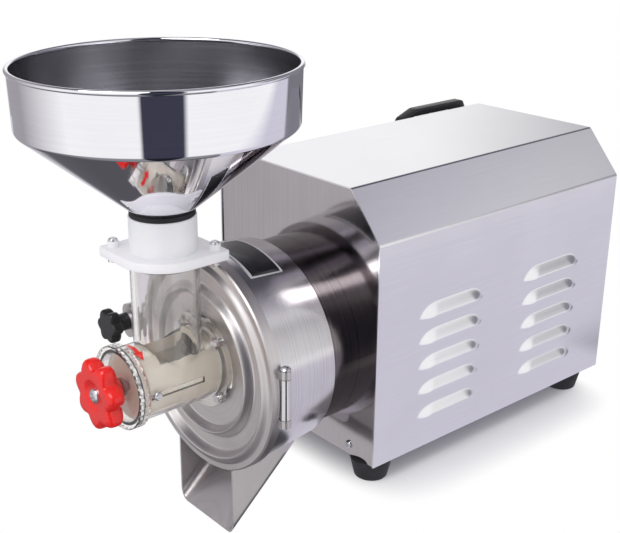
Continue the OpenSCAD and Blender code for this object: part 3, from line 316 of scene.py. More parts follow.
tint = node(tree, "ShaderNodeMix", {
    "Factor": rays.outputs["Is Glossy Ray"], MIX_A: WHITE, MIX_B: painted_reflection_ramp.outputs["Color"]},
    data_type="RGBA")
white = node(tree, "ShaderNodeEmission", {"Color": tint.outputs[MIX_OUT], "Strength": 1.0})
both = node(tree, "ShaderNodeMixShader", {
    0: unseen.outputs[0], 1: paint.outputs[0], 2: white.outputs[0]})
node(tree, "ShaderNodeOutputMaterial", {"Surface": both.outputs[0]})
table_mesh.materials.append(matt)
print("table finish of", len(tree.nodes), "nodes")

# %% [markdown]
# The machine's finishes start alike: an empty tree, the main shader with its even values, and the
# piece's own coordinates in metres. They also end alike: a pattern drives the colour, the roughness
# and a bump. On steel the pattern is tool marks times broad, faint patches, which stand for
# handling and polishing.

# %% What the finishes share
DENT = 0.4 * MM


def begin(name, values):
    """A new material: its tree, its main shader with even values, and its object coordinates."""
    made = bpy.data.materials.new(name)
    made.use_nodes = True
    tree = made.node_tree
    tree.nodes.clear()
    shader = node(tree, "ShaderNodeBsdfPrincipled", values)
    node(tree, "ShaderNodeOutputMaterial", {"Surface": shader.outputs[0]})
    return made, tree, shader, node(tree, "ShaderNodeTexCoord").outputs["Object"]


def connect(tree, shader, colour, rough, bump):
    """Links the nodes of a pattern to the shader."""
    tree.links.new(colour.outputs["Color"], shader.inputs["Base Color"])
    tree.links.new(rough.outputs[0], shader.inputs["Roughness"])
    tree.links.new(bump.outputs[0], shader.inputs["Normal"])


def steel_skin(tree, shader, marks, patches, light, dark, rough_low, rough_high, depth):
    """Marks times patches move colour and roughness. depth is how strongly the marks dent it."""
    mixed = node(tree, "ShaderNodeMath", {0: marks.outputs["Fac"], 1: patches.outputs["Fac"]},
                 operation="MULTIPLY")
    colour = node(tree, "ShaderNodeValToRGB", {"Fac": mixed.outputs[0]},
                  stops=[(0.12, srgb(dark)), (0.38, srgb(light))])
    rough = node(tree, "ShaderNodeMapRange", {
        "Value": mixed.outputs[0], "From Min": 0.1, "From Max": 0.45,
        "To Min": rough_low, "To Max": rough_high})
    bump = node(tree, "ShaderNodeBump", {
        "Height": marks.outputs["Fac"], "Strength": depth, "Distance": DENT})
    connect(tree, shader, colour, rough, bump)


print("bumps are up to", DENT / MM, "mm deep")

# %% [markdown]
# Stainless sheet is rolled, so its grain runs one way and blurs reflections a little across it.
# The grain is finer than a pixel on the real sheet. Here it is drawn about 1.5 mm wide, and 2 mm on
# the front plate, so that it can be seen. The patches are about 70 mm wide.

# %% Finish: rolled sheet steel
ALONG_HOOD, UP_PANEL = (650, 12, 650), (500, 500, 10)


def sheet_steel(name, light, dark, rough_low, rough_high, grain, depth):
    """Rolled sheet: grain is how many streaks lie in a metre along X, Y and Z."""
    made, tree, shader, place = begin(name, {"Metallic": 1.0})
    stretched = node(tree, "ShaderNodeMapping", {"Vector": place, "Scale": grain})
    streaks = node(tree, "ShaderNodeTexNoise", {
        "Vector": stretched.outputs[0], "Scale": 1.0, "Detail": 4.0})
    patches = node(tree, "ShaderNodeTexNoise", {"Vector": place, "Scale": 14.0, "Detail": 2.0})
    steel_skin(tree, shader, streaks, patches, light, dark, rough_low, rough_high, depth)
    return made


# Satin stainless of the hood: pale with a cool tint, soft reflections along the roll direction.
hood_steel = sheet_steel(
    "rolled_stainless_satin", "#F2F1F4", "#EDECEF", 0.19, 0.22, ALONG_HOOD, 0.004)
# Mirror stainless of the front plate: the drum and the neck stand in it as dark arcs.
panel_steel = sheet_steel(
    "rolled_stainless_mirror", "#C9C4C6", "#C1BCBE", 0.08, 0.12, UP_PANEL, 0.01)
# Mill-finish steel of the tray under the motor: dull and grey.
tray_steel = sheet_steel(
    "mill_finish_steel", "#A3A2A6", "#94939A", 0.4, 0.5, ALONG_HOOD, 0.04)
print("sheet finishes made")

# %% [markdown]
# Turned and spun parts carry fine rings from the tool. A ring pattern needs the distance from the
# axis, which vector nodes give. The same small recipe serves the shaft's parts, whose rings run
# with the radius and with the length, and the hopper, whose axis is upright.
# Real tool marks are finer than a pixel. Here they are 1.2 to 3 mm apart, so that they can be seen.

# %% Finish: turned steel
def turned_steel(name, light, dark, rough_low, rough_high, line, pitch, depth):
    """Rings around a line, given as axis and centre. pitch is the distance between marks in mm."""
    axis, centre = line
    made, tree, shader, place = begin(name, {"Metallic": 1.0})
    across = Vector((1, 1, 1)) - Vector(axis)
    from_axis = node(tree, "ShaderNodeVectorMath", {0: place, 1: centre}, operation="SUBTRACT")
    flat = node(tree, "ShaderNodeVectorMath", {0: from_axis.outputs[0], 1: across},
                operation="MULTIPLY")
    radius = node(tree, "ShaderNodeVectorMath", {0: flat.outputs[0]}, operation="LENGTH")
    along = node(tree, "ShaderNodeVectorMath", {0: from_axis.outputs[0], 1: Vector(axis)},
                 operation="DOT_PRODUCT")
    both = node(tree, "ShaderNodeMath", {0: radius.outputs["Value"], 1: along.outputs["Value"]},
                operation="ADD")
    steps = node(tree, "ShaderNodeMath", {0: both.outputs[0], 1: 1 / (pitch * MM)},
                 operation="MULTIPLY")
    rings = node(tree, "ShaderNodeTexNoise", {"W": steps.outputs[0], "Scale": 1.0, "Detail": 3.0},
                 noise_dimensions="1D")
    patches = node(tree, "ShaderNodeTexNoise", {"Vector": place, "Scale": 22.0, "Detail": 3.0})
    steel_skin(tree, shader, rings, patches, light, dark, rough_low, rough_high, depth)
    return made


along_shaft, upright = (0, 1, 0), (0, 0, 1)
shaft_line = along_shaft, spot(0, 0, SHAFT)
feed_line = upright, spot(0, FEED, 0)
# Turned and buffed steel of the drum: bright bands along its length.
drum_steel = turned_steel(
    "turned_stainless_buffed", "#E3E1E3", "#D6D3D5", 0.17, 0.2, shaft_line, 1.6, 0.006)
# Spun steel of the door: satin, a touch warm, with rings around the feed body.
cover_steel = turned_steel(
    "spun_stainless_satin", "#DBD6D6", "#CDC8C8", 0.34, 0.42, shaft_line, 1.6, 0.08)
# Polished iron of the motor's front bell. Its dark grey is painted shade for the gap between drum
# and front plate, and the rings give bright bands along its length.
neck_metal = turned_steel(
    "polished_iron_painted_shade", "#817B7C", "#6E6869", 0.14, 0.2, shaft_line, 2, 0.02)
# Mirror-spun steel of the hopper: clean reflections, with only a breath of spinning marks.
hopper_steel = turned_steel(
    "spun_stainless_mirror", "#F3F2F7", "#EFEEF3", 0.03, 0.05, feed_line, 3, 0.003)
# The hopper's inside is left satin by the spinning roller, so the room above shows as an even grey.
# Its colour, darker than the outside, is painted shade for the inside of the bowl.
bowl_inside_painted_shade = turned_steel(
    "spun_stainless_inside_painted_shade", "#B4B3B8", "#AEADB2", 0.2, 0.24, feed_line, 3, 0.003)
# Ground steel of the shaft and the spindle: grey, with a soft sheen.
shaft_steel = turned_steel(
    "ground_steel", "#B4B3B6", "#9E9DA1", 0.22, 0.34, shaft_line, 1.2, 0.08)
# Zinc-plated screws: cool and slightly cloudy.
fastener_steel = turned_steel(
    "zinc_plated_steel", "#E2E1E4", "#CFCED3", 0.2, 0.3, shaft_line, 1.5, 0.04)
print("turned finishes made")

# %% [markdown]
# Cast iron, lamination and paint are duller: a cloud about 30 mm wide moves the colour, and fine
# grit moves roughness and bump together. Moulded plastics and rubber use the same recipe with no
# metal in it, because their skin also comes from a mould with a fine texture.
# The grit is drawn 0.8 to 2 mm wide, coarser than on the real parts, so that it can be seen.

# %% Finish: cast, painted and moulded
def cloudy_skin(tree, shader, cloud, grit, light, dark, rough_low, rough_high, depth, dent=DENT):
    """A cloud moves the colour between dark and light, and grit moves roughness and bump."""
    colour = node(tree, "ShaderNodeValToRGB", {"Fac": cloud.outputs["Fac"]},
                  stops=[(0.3, srgb(dark)), (0.7, srgb(light))])
    rough = node(tree, "ShaderNodeMapRange", {
        "Value": grit.outputs["Fac"], "From Min": 0.3, "From Max": 0.7,
        "To Min": rough_low, "To Max": rough_high})
    bump = node(tree, "ShaderNodeBump", {
        "Height": grit.outputs["Fac"], "Strength": depth, "Distance": dent})
    connect(tree, shader, colour, rough, bump)


def moulded(name, light, dark, rough_low, rough_high, grain, depth, metal=0.0, coat=0.0, soft=0.0):
    """A skin with fine grit. grain is the size of its grains in mm."""
    made, tree, shader, place = begin(name, {
        "Metallic": metal, "Coat Weight": coat, "Coat Roughness": 0.08,
        "Subsurface Weight": soft, "Subsurface Scale": 3 * MM})
    grit = node(tree, "ShaderNodeTexNoise", {
        "Vector": place, "Scale": 1 / (grain * MM), "Detail": 3.0})
    cloud = node(tree, "ShaderNodeTexNoise", {"Vector": place, "Scale": 30.0, "Detail": 2.0})
    cloudy_skin(tree, shader, cloud, grit, light, dark, rough_low, rough_high, depth)
    return made


# Grey enamel over the motor's castings: half glossy, with a slight orange peel.
motor_paint = moulded("grey_enamel", "#565B60", "#4A4F54", 0.3, 0.42, 1.6, 0.1)
# Varnished lamination stack of stator and rotor: brownish, with a dull metal sheen.
lamination = moulded("varnished_lamination", "#8A8078", "#6E665F", 0.35, 0.5, 0.8, 0.2, metal=0.8)
# Hard cast iron of the grinding discs, ground on the faces: grey and grainy.
disc_iron = moulded("white_cast_iron", "#83817F", "#6C6A69", 0.35, 0.5, 1.2, 0.2, metal=1.0)
# Rubber feet: deep grey, dull, with a chalky bloom.
black_rubber = moulded("black_rubber", "#262628", "#19191B", 0.55, 0.75, 1.2, 0.25)
# Black moulded nylon of handle and clamp knob: a satin skin.
black_plastic = moulded("black_nylon", "#232326", "#17171A", 0.3, 0.42, 1.1, 0.12)
# Red moulded handwheel: glossy, with a little light inside its lobes.
red_plastic = moulded(
    "red_abs_gloss", "#E81710", "#DC110C", 0.2, 0.28, 2, 0.03, coat=0.2, soft=0.08)
# White acetal of the hopper's seat: even, half matt and a little translucent.
white_plastic = moulded("white_acetal", "#F8F7FA", "#F2F1F4", 0.35, 0.45, 1.8, 0.05, soft=0.1)
# Cream nylon of the adjusting sleeve: matt and warm, seen through the barrel.
cream_plastic = moulded("cream_nylon", "#FFF7EA", "#F8EEDF", 0.4, 0.5, 1.5, 0.08, soft=0.1)
# Black lacquer of the bare plate on the drum: deep, with a thin gloss.
plate_black = moulded("black_lacquer", "#1D1D1F", "#141416", 0.25, 0.35, 1, 0.05, coat=0.3)
# Silver print of the plate's border: pale, with a weak metal sheen.
plate_border = moulded("silver_print", "#E2E2E4", "#D4D4D7", 0.35, 0.45, 1, 0.04, metal=0.2)
# Pale grey plastic of the capacitor's can: half matt.
grey_plastic = moulded("grey_polyamide", "#C4C4C0", "#B4B4B0", 0.4, 0.5, 1.5, 0.08)
print("moulded finishes made")

# %% [markdown]
# The feed body and its end cap are clear mouldings, almost without colour. Light passes through
# them, and their skin is not quite even, so what lies behind looks a little blurred.

# %% Finish: clear plastic
def clear_moulding(name, light, dark, rough_low, rough_high):
    """Clear plastic with faint flow marks and a little milk. It bends light less than acrylic."""
    made, tree, shader, place = begin(name, {
        "Transmission Weight": 0.97, "IOR": 1.4, "Coat Weight": 0.7, "Coat IOR": 1.49,
        "Coat Roughness": 0.06})
    flow = node(tree, "ShaderNodeTexNoise", {
        "Vector": place, "Scale": 60.0, "Detail": 2.0, "Distortion": 0.6})
    cloudy_skin(tree, shader, flow, flow, light, dark, rough_low, rough_high, 0.02, 1 * MM)
    return made


# Clear acrylic: bright edges, soft streaks from the mould, and a thin gloss.
clear_plastic = clear_moulding("clear_acrylic", "#FFFEFD", "#FBF8F6", 0.04, 0.07)
print("clear finish made")

# %% [markdown]
# The nodes that stay as the CAD made them get their finish in their own material slot.
# One dictionary from the record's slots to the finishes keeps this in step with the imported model.

# %% Dress the CAD nodes
finishes = {
    "hood_steel": hood_steel, "panel_steel": panel_steel, "tray_steel": tray_steel,
    "drum_steel": drum_steel, "cover_steel": cover_steel, "neck_metal": neck_metal,
    "hopper_steel": hopper_steel, "motor_paint": motor_paint, "shaft_steel": shaft_steel,
    "lamination": lamination, "disc_iron": disc_iron, "fastener_steel": fastener_steel,
    "black_rubber": black_rubber, "black_plastic": black_plastic, "red_plastic": red_plastic,
    "white_plastic": white_plastic, "cream_plastic": cream_plastic,
    "clear_plastic": clear_plastic, "plate_black": plate_black, "grey_plastic": grey_plastic,
}
slot_of = {part["node"]: part["material_slot"] for part in frame["record"]["subparts"]}
for name, solid in nodes.items():
    for holder in solid.material_slots:
        holder.material = finishes[slot_of[name]]
print("dressed", len(nodes), "nodes")

# %% [markdown]
# New pieces are modelled in the machine's millimetres with bmesh operators, and moved to the frame
# at the end. A profile is a wire through a few corner points. Bevelling its corners rounds it, and
# spinning it around an axis makes the turned form.

# %% Helpers for profiles
def wire(bm, points, closed=True):
    """A polyline through points in millimetres. Returns its vertices."""
    corners = [bm.verts.new(point) for point in points]
    following = corners[1:] + corners[:1] if closed else corners[1:]
    for first, second in zip(corners, following):
        bm.edges.new((first, second))
    return corners


def rounded(bm, geom, reach, segments=4, affect="VERTICES"):
    """Rounds corners of a wire, or edges. reach is how far away the rounding starts."""
    bmesh.ops.bevel(bm, geom=geom, offset=reach, offset_type="OFFSET", segments=segments,
                    profile=0.5, affect=affect, material=-1)


def spin_wires(bm, centre, axis, steps):
    """Spins every wire that has no face yet once around an axis through centre."""
    edges = [edge for edge in bm.edges if not edge.link_faces]
    verts = list({vert for edge in edges for vert in edge.verts})
    bmesh.ops.spin(bm, geom=verts + edges, cent=centre, axis=axis, angle=2 * pi, steps=steps,
                   use_merge=True)


def lathe(bm, points, rounds, centre, axis, steps, closed=True):
    """Turns a profile. rounds gives the reach of the rounding for some of its corners."""
    corners = wire(bm, points, closed)
    for index, reach in rounds.items():
        rounded(bm, [corners[index]], reach)
    spin_wires(bm, centre, axis, steps)


print("profile helpers ready")

# %% [markdown]
# Two small functions pick from what an operator made or works on. A third one closes every piece:
# it merges doubles, turns the normals outward, keeps sharp edges sharp, and hands the piece to the
# body that carries it.

# %% Helpers for pieces
WELD = 0.005


def verts_of(geom):
    """The vertices in an operator's result."""
    return [part for part in geom if isinstance(part, bmesh.types.BMVert)]


def everything(bm):
    """All vertices, edges and faces, as a cutting plane wants them."""
    return bm.verts[:] + bm.edges[:] + bm.faces[:]


def piece(name, bm, finish, body, slot, *replaced, sharp=40, outward=True, flat=None):
    """Finishes a new piece. Faces larger than flat, in square millimetres, aren't shaded smooth."""
    bmesh.ops.remove_doubles(bm, verts=bm.verts, dist=WELD)
    if outward:
        bmesh.ops.recalc_face_normals(bm, faces=bm.faces)
    for face in bm.faces:
        face.smooth = flat is None or face.calc_area() < flat
    for edge in bm.edges:
        edge.smooth = len(edge.link_faces) == 2 and edge.calc_face_angle() < radians(sharp)
    bmesh.ops.scale(bm, vec=(MM, MM, MM), verts=bm.verts)
    bmesh.ops.translate(bm, vec=ZERO, verts=bm.verts)
    mesh = bpy.data.meshes.new(name)
    bm.to_mesh(mesh)
    bm.free()
    mesh.materials.append(finish)
    made = bpy.data.objects.new(name, mesh)
    bpy.context.scene.collection.objects.link(made)
    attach(made, body)
    if replaced:
        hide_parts(*replaced)
    print(name, len(mesh.polygons), "faces on", body)
    return made


print("pieces are welded at", WELD, "mm")

# %% [markdown]
# The hood is one folded sheet: six corner points make its outline, small bevels make the bending
# radius, and an extrusion gives the length. The louvres' cells are then cut out of the sides with
# bisecting planes, so that the pressed forms can take their place.

# %% Folded hood
HOOD_SIDE, HOOD_ROOF, HOOD_LENGTH, HOOD_BEND = 121, 81, 362, 1.4
HOOD_LOW, HOOD_SHOULDER, HOOD_TOP = 22, 253, 299
LOUVRE_LONG, LOUVRE_TALL = 92, 14
LOUVRE_STARTS, LOUVRE_ROWS = (57, 213), (55, 82.5, 110, 137.5, 165)
hood_bm = bmesh.new()
corners = wire(hood_bm, [
    (-HOOD_SIDE, 0, HOOD_LOW), (-HOOD_SIDE, 0, HOOD_SHOULDER), (-HOOD_ROOF, 0, HOOD_TOP),
    (HOOD_ROOF, 0, HOOD_TOP), (HOOD_SIDE, 0, HOOD_SHOULDER), (HOOD_SIDE, 0, HOOD_LOW)],
    closed=False)
rounded(hood_bm, corners[1:5], HOOD_BEND, 3)
grown = bmesh.ops.extrude_edge_only(hood_bm, edges=hood_bm.edges[:])["geom"]
bmesh.ops.translate(hood_bm, vec=(0, HOOD_LENGTH, 0), verts=verts_of(grown))
cuts = [((0, start + step, 0), (0, 1, 0))
        for start in LOUVRE_STARTS for step in (0, LOUVRE_LONG)]
cuts += [((0, 0, row + step), (0, 0, 1)) for row in LOUVRE_ROWS for step in (0, LOUVRE_TALL)]
for point, normal in cuts:
    bmesh.ops.bisect_plane(hood_bm, geom=everything(hood_bm), plane_co=point, plane_no=normal)


def in_louvre(middle):
    """Whether a face's middle lies in one of the louvre cells."""
    return (abs(middle.x) > HOOD_SIDE - 1
            and any(0 < middle.y - start < LOUVRE_LONG for start in LOUVRE_STARTS)
            and any(0 < middle.z - row < LOUVRE_TALL for row in LOUVRE_ROWS))


cells = [face for face in hood_bm.faces if in_louvre(face.calc_center_median())]
print("louvre cells", len(cells))
bmesh.ops.delete(hood_bm, geom=cells, context="FACES_ONLY")

# %% [markdown]
# Each louvre is a pressed bulge: a fine grid fills its cell, swells towards the lower lip and runs
# out at slanted, rounded ends. The sheet is open, so every face is turned away from the middle of
# the box by comparing directions, and then the sheet gets its thickness.

# %% Pressed louvres
LOUVRE_OUT, LOUVRE_SLANT, LOUVRE_EASE = 5, 11, 18
GRID_ALONG, GRID_UP = 60, 14
SHEET = 1.5


def swell(along, rise):
    """How far the louvre stands out, from the distance along it and above its lower lip."""
    lift = rise / LOUVRE_TALL
    inset = min(along, LOUVRE_LONG - along) - LOUVRE_SLANT * lift ** 1.4
    end = sin(pi / 2 * min(max(inset, 0) / LOUVRE_EASE, 1))
    return LOUVRE_OUT * end * (0.5 + 0.5 * cos(pi * lift)) ** 0.8


for side in (-1, 1):
    for start in LOUVRE_STARTS:
        for row in LOUVRE_ROWS:
            grid = bmesh.ops.create_grid(
                hood_bm, x_segments=GRID_ALONG, y_segments=GRID_UP, size=0.5)["verts"]
            for vert in grid:
                along = (0.5 + side * vert.co.x) * LOUVRE_LONG
                rise = (0.5 + vert.co.y) * LOUVRE_TALL
                vert.co = (side * (HOOD_SIDE + swell(along, rise)), start + along, row + rise)
hood_bm.normal_update()
hood_middle = Vector((0, 0, 150))
inward = [face for face in hood_bm.faces if face.normal.dot(
    (face.calc_center_median() - hood_middle) * Vector((1, 0, 1))) < 0]
bmesh.ops.reverse_faces(hood_bm, faces=inward)
hood = piece("folded_hood", hood_bm, hood_steel, "machine", "hood_steel", "housing_cover",
             "side_panels", sharp=60, outward=False, flat=400)
thick = hood.modifiers.new("sheet", "SOLIDIFY")
thick.thickness, thick.offset = SHEET * MM, -1

# %% [markdown]
# The feed body is one clear moulding of flange, barrel and tube. Its solid lies face to face on the
# steel cover, and light that leaves the plastic there would start inside the steel and come back
# black. So a copy of the solid is welded, and the back of its flange is drawn a tenth of a
# millimetre off the cover: no moulding lies quite flat.

# %% Clear feed body
AIR_GAP, BARREL_CLEAR, SAME_PLANE = 0.1, 45, 0.01
bm = bmesh.new()
bm.from_mesh(nodes["feed_body"].data)
bmesh.ops.translate(bm, vec=-ZERO, verts=bm.verts)
bmesh.ops.scale(bm, vec=(1 / MM, 1 / MM, 1 / MM), verts=bm.verts)
bmesh.ops.remove_doubles(bm, verts=bm.verts, dist=WELD)
flange_back = max(vert.co.y for vert in bm.verts
                  if hypot(vert.co.x, vert.co.z - SHAFT) > BARREL_CLEAR)
drawn = [vert for vert in bm.verts if abs(vert.co.y - flange_back) < SAME_PLANE]
bmesh.ops.translate(bm, vec=(0, -AIR_GAP, 0), verts=drawn)
print("flange back at", round(flange_back, 2), "with", len(drawn), "vertices")
piece("clear_feed_body", bm, clear_plastic, "door", "clear_plastic", "feed_body", sharp=30)

# %% [markdown]
# The hopper is a spun bowl: neck, cone and wall in one profile, with a bead rolled around its upper
# edge. The corner between cone and wall stays tight, because the reflections break there.
# The faces that look at the axis get the satin finish of the inside, with its painted shade.

# %% Hopper
BOWL_TOP, SATIN_TOP, BOWL_STEPS = 420.9, 420, 192
BEAD_MIDDLE, BEAD_RADIUS = 124.8, 2.2
feed_foot = Vector((0, FEED, 0))
bm = bmesh.new()
bowl = [(28, 259.1), (28, 291.1), (124, 369.1), (125.4, BOWL_TOP),
        (124.1, BOWL_TOP), (122.6, 370), (26.6, 291.9), (26.6, 259.1)]
lathe(bm, [(r, FEED, z) for r, z in bowl], {1: 2.5, 2: 2.2, 5: 2.2, 6: 2.5}, feed_foot, upright,
      BOWL_STEPS)
bead = bmesh.ops.create_circle(bm, radius=BEAD_RADIUS, segments=20)["verts"]
bmesh.ops.rotate(bm, cent=(0, 0, 0), matrix=Matrix.Rotation(pi / 2, 3, "X"), verts=bead)
bmesh.ops.translate(bm, vec=(BEAD_MIDDLE, FEED, BOWL_TOP), verts=bead)
spin_wires(bm, feed_foot, upright, BOWL_STEPS)
bmesh.ops.remove_doubles(bm, verts=bm.verts, dist=WELD)
bmesh.ops.recalc_face_normals(bm, faces=bm.faces)
for face in bm.faces:
    middle = face.calc_center_median()
    inside = face.normal.dot((middle - feed_foot) * Vector((1, 1, 0))) < 0
    face.material_index = int(inside and middle.z < SATIN_TOP)
hopper_bowl = piece("hopper_bowl", bm, hopper_steel, "bowl", "hopper_steel", "hopper", sharp=30)
hopper_bowl.data.materials.append(bowl_inside_painted_shade)

# %% [markdown]
# The hopper's seat is one white moulding: a flange with two square and two round corners, a tube
# that takes the hopper's neck, and two bosses for its screws. Every outer edge has a small radius.

# %% Hopper seat
SEAT_LOW, SEAT_TOP, SEAT_PLATE, SEAT_HALF = 245, 287, 9, 43
SEAT_BORE, SEAT_TUBE = 28.5, 31
BOSS_AT, BOSS_TOP = 33, SEAT_LOW + SEAT_PLATE + 6
bm = bmesh.new()
corners = wire(bm, [
    (-SEAT_HALF, FEED - SEAT_HALF, SEAT_LOW), (SEAT_HALF, FEED - SEAT_HALF, SEAT_LOW),
    (SEAT_HALF, FEED + SEAT_HALF, SEAT_LOW), (-SEAT_HALF, FEED + SEAT_HALF, SEAT_LOW)])
rounded(bm, [corners[1], corners[3]], SEAT_HALF - 0.1, 20)
rounded(bm, [corners[0], corners[2]], 3)
bore = bmesh.ops.create_circle(bm, radius=SEAT_BORE, segments=64)["verts"]
bmesh.ops.translate(bm, vec=(0, FEED, SEAT_LOW), verts=bore)
bmesh.ops.triangle_fill(bm, edges=bm.edges[:], use_beauty=True, use_dissolve=False,
                        normal=(0, 0, 1))
raised = bmesh.ops.extrude_face_region(bm, geom=bm.faces[:])["geom"]
bmesh.ops.translate(bm, vec=(0, 0, SEAT_PLATE), verts=verts_of(raised))


def on_outer_rim(edge):
    """Whether an edge of the flange runs around its outside, along the top or the bottom."""
    first, second = edge.verts
    return (len(edge.link_faces) == 2 and edge.calc_face_angle(0) > 1
            and abs(first.co.z - second.co.z) < 0.1
            and (first.co.xy - feed_foot.xy).length > SEAT_TUBE)


rounded(bm, [edge for edge in bm.edges if on_outer_rim(edge)], 1.1, 3, "EDGES")
tube = [(SEAT_BORE, SEAT_LOW + 1), (SEAT_TUBE, SEAT_LOW + 1), (SEAT_TUBE, SEAT_TOP),
        (SEAT_BORE, SEAT_TOP)]
lathe(bm, [(r, FEED, z) for r, z in tube], {2: 1, 3: 0.6}, feed_foot, upright, 96)
boss = [(2.1, SEAT_LOW + 1), (5.5, SEAT_LOW + 1), (5.3, BOSS_TOP), (2.1, BOSS_TOP)]
for place_on in (-BOSS_AT, BOSS_AT):
    lathe(bm, [(place_on + r, FEED + place_on, z) for r, z in boss], {2: 0.8},
          (place_on, FEED + place_on, 0), upright, 32)
piece("moulded_seat", bm, white_plastic, "door", "white_plastic", "hopper_seat", sharp=35)

# %% [markdown]
# The handwheel and the clamp knob are turned first and lobed afterwards: every point outside the
# hub is moved along its radius by a smooth wave of the angle, so the rounded rim follows the lobes.

# %% Handwheel and clamp knob
def lobes(bm, centre, hub, reach, valley, count, phase):
    """Waves the rim of a turned knob. reach and valley are its largest and smallest radius."""
    for vert in bm.verts:
        across = Vector((vert.co.x - centre[0], vert.co.z - centre[1]))
        if across.length > hub + 0.01:
            wave = (0.5 + 0.5 * cos(count * (atan2(across.y, across.x) - phase))) ** 0.75
            edge = valley + (reach - valley) * wave
            radius = hub + (across.length - hub) * (edge - hub) / (reach - hub)
            across *= radius / across.length
            vert.co.x, vert.co.z = centre[0] + across.x, centre[1] + across.y


WHEEL_RADIUS, WHEEL_HUB_END = 34, -234
bm = bmesh.new()
wheel = [(5.05, -211.5), (13, -211.5), (13, -220), (WHEEL_RADIUS, -220), (WHEEL_RADIUS, -237),
         (15, -236.2), (11.5, WHEEL_HUB_END), (5.05, WHEEL_HUB_END)]
lathe(bm, [(r, y, SHAFT) for r, y in wheel], {2: 2, 3: 6, 4: 6.5, 5: 1.5}, (0, 0, SHAFT),
      along_shaft, 210)
lobes(bm, (0, SHAFT), hub=16, reach=WHEEL_RADIUS, valley=26, count=7, phase=-pi / 2)
piece("lobed_handwheel", bm, red_plastic, "knob", "red_plastic", "fineness_knob")

LATCH_X, LATCH_Z, LATCH_RADIUS = -115, 136, 18
bm = bmesh.new()
clamp = [(0, -153.6), (LATCH_RADIUS, -153.6), (LATCH_RADIUS, -141.6), (9, -141.6),
         (9, -128.6), (4.02, -128.6), (4.02, -149.6), (0, -149.6)]
lathe(bm, [(LATCH_X + r, y, LATCH_Z) for r, y in clamp], {1: 3.5, 2: 3.5, 3: 2},
      (LATCH_X, 0, LATCH_Z), along_shaft, 120, closed=False)
lobes(bm, (LATCH_X, LATCH_Z), hub=9, reach=LATCH_RADIUS, valley=14, count=6, phase=0)
piece("lobed_clamp_knob", bm, black_plastic, "latch", "black_plastic", "latch_knob")

# %% [markdown]
# The red arrow beside the barrel's cap is a printed mark: a flat outline bent around the barrel.
# It is drawn flat, cut into narrow strips with bisecting planes, and wrapped around the barrel.

# %% Arrow mark
BARREL_RADIUS, MARK_RADIUS = 36.1, 36.12
MARK_LONG, MARK_NECK, MARK_START, MARK_AT = 30, 19, radians(104), -193
bm = bmesh.new()
wire(bm, [(0, -2, 0), (MARK_NECK, -2, 0), (MARK_NECK, -4.6, 0), (MARK_LONG, 0, 0),
          (MARK_NECK, 4.6, 0), (MARK_NECK, 2, 0), (0, 2, 0)])
arrow = bmesh.ops.contextual_create(bm, geom=bm.edges[:])["faces"]
bmesh.ops.triangulate(bm, faces=arrow)
for strip in range(1, MARK_LONG):
    bmesh.ops.bisect_plane(bm, geom=everything(bm), plane_co=(strip, 0, 0), plane_no=(1, 0, 0))
for vert in bm.verts:
    turned = MARK_START - vert.co.x / BARREL_RADIUS
    vert.co = (MARK_RADIUS * cos(turned), MARK_AT + vert.co.y, SHAFT + MARK_RADIUS * sin(turned))
piece("arrow_mark", bm, red_plastic, "door", "red_plastic", sharp=80)

# %% [markdown]
# The handle is a bar on two legs: one outline, an extrusion and rounded edges, cut off along the
# hood's far bevel so that its legs stand on it. The feet are turned with a small radius at the
# floor.

# %% Handle and feet
HANDLE_OUT, HANDLE_WIDE = -111, 14
bm = bmesh.new()
bar = [(238, HOOD_SHOULDER), (254, HOOD_SHOULDER), (266, 293), (342, 293), (342, HOOD_SHOULDER),
       (358, HOOD_SHOULDER), (358, 292.5), (353, 301.5), (273, 301.5), (250, 292.5)]
corners = wire(bm, [(HANDLE_OUT, y, z) for y, z in bar])
rounded(bm, [corners[2], corners[3]], 3)
rounded(bm, corners[6:], 2.5)
outline = bmesh.ops.contextual_create(bm, geom=bm.edges[:])["faces"]
wide = bmesh.ops.extrude_face_region(bm, geom=outline)["geom"]
bmesh.ops.translate(bm, vec=(HANDLE_WIDE, 0, 0), verts=verts_of(wide))
flanks = [edge for edge in bm.edges if abs(edge.verts[0].co.x - edge.verts[1].co.x) < 0.1
          and max(vert.co.z for vert in edge.verts) > HOOD_SHOULDER + 1]
rounded(bm, flanks, 1.8, 3, "EDGES")
cut = bmesh.ops.bisect_plane(
    bm, geom=everything(bm), plane_co=(-HOOD_ROOF, 0, HOOD_TOP + 0.05),
    plane_no=(HOOD_TOP - HOOD_SHOULDER, 0, HOOD_ROOF - HOOD_SIDE), clear_outer=True)["geom_cut"]
open_edges = [part for part in cut if isinstance(part, bmesh.types.BMEdge)]
bmesh.ops.holes_fill(bm, edges=open_edges, sides=0)
piece("bar_handle", bm, black_plastic, "machine", "black_plastic", "carry_handle", sharp=50)

FOOT_X, FOOT_FRONT, FOOT_REAR = 99.5, 18, 326
bm = bmesh.new()
foot = [(4.8, 0), (16.5, 0), (21.5, HOOD_LOW), (2.1, HOOD_LOW), (2.1, 11), (4.8, 11)]
for x in (-FOOT_X, FOOT_X):
    for y in (FOOT_FRONT, FOOT_REAR):
        lathe(bm, [(x + r, y, z) for r, z in foot], {1: 2, 2: 1.2}, (x, y, 0), upright, 64)
piece("tapered_feet", bm, black_rubber, "machine", "black_rubber", "rubber_feet")

# %% [markdown]
# Screws have a domed head with a cross recess. One function builds a screw at the origin: the shank
# and the dome are turned, a cross outline is bridged to the dome's ring, and its face is pushed in.

# %% A cross-recess screw
SCREW_CROWN, SHANK = 2.6, 2


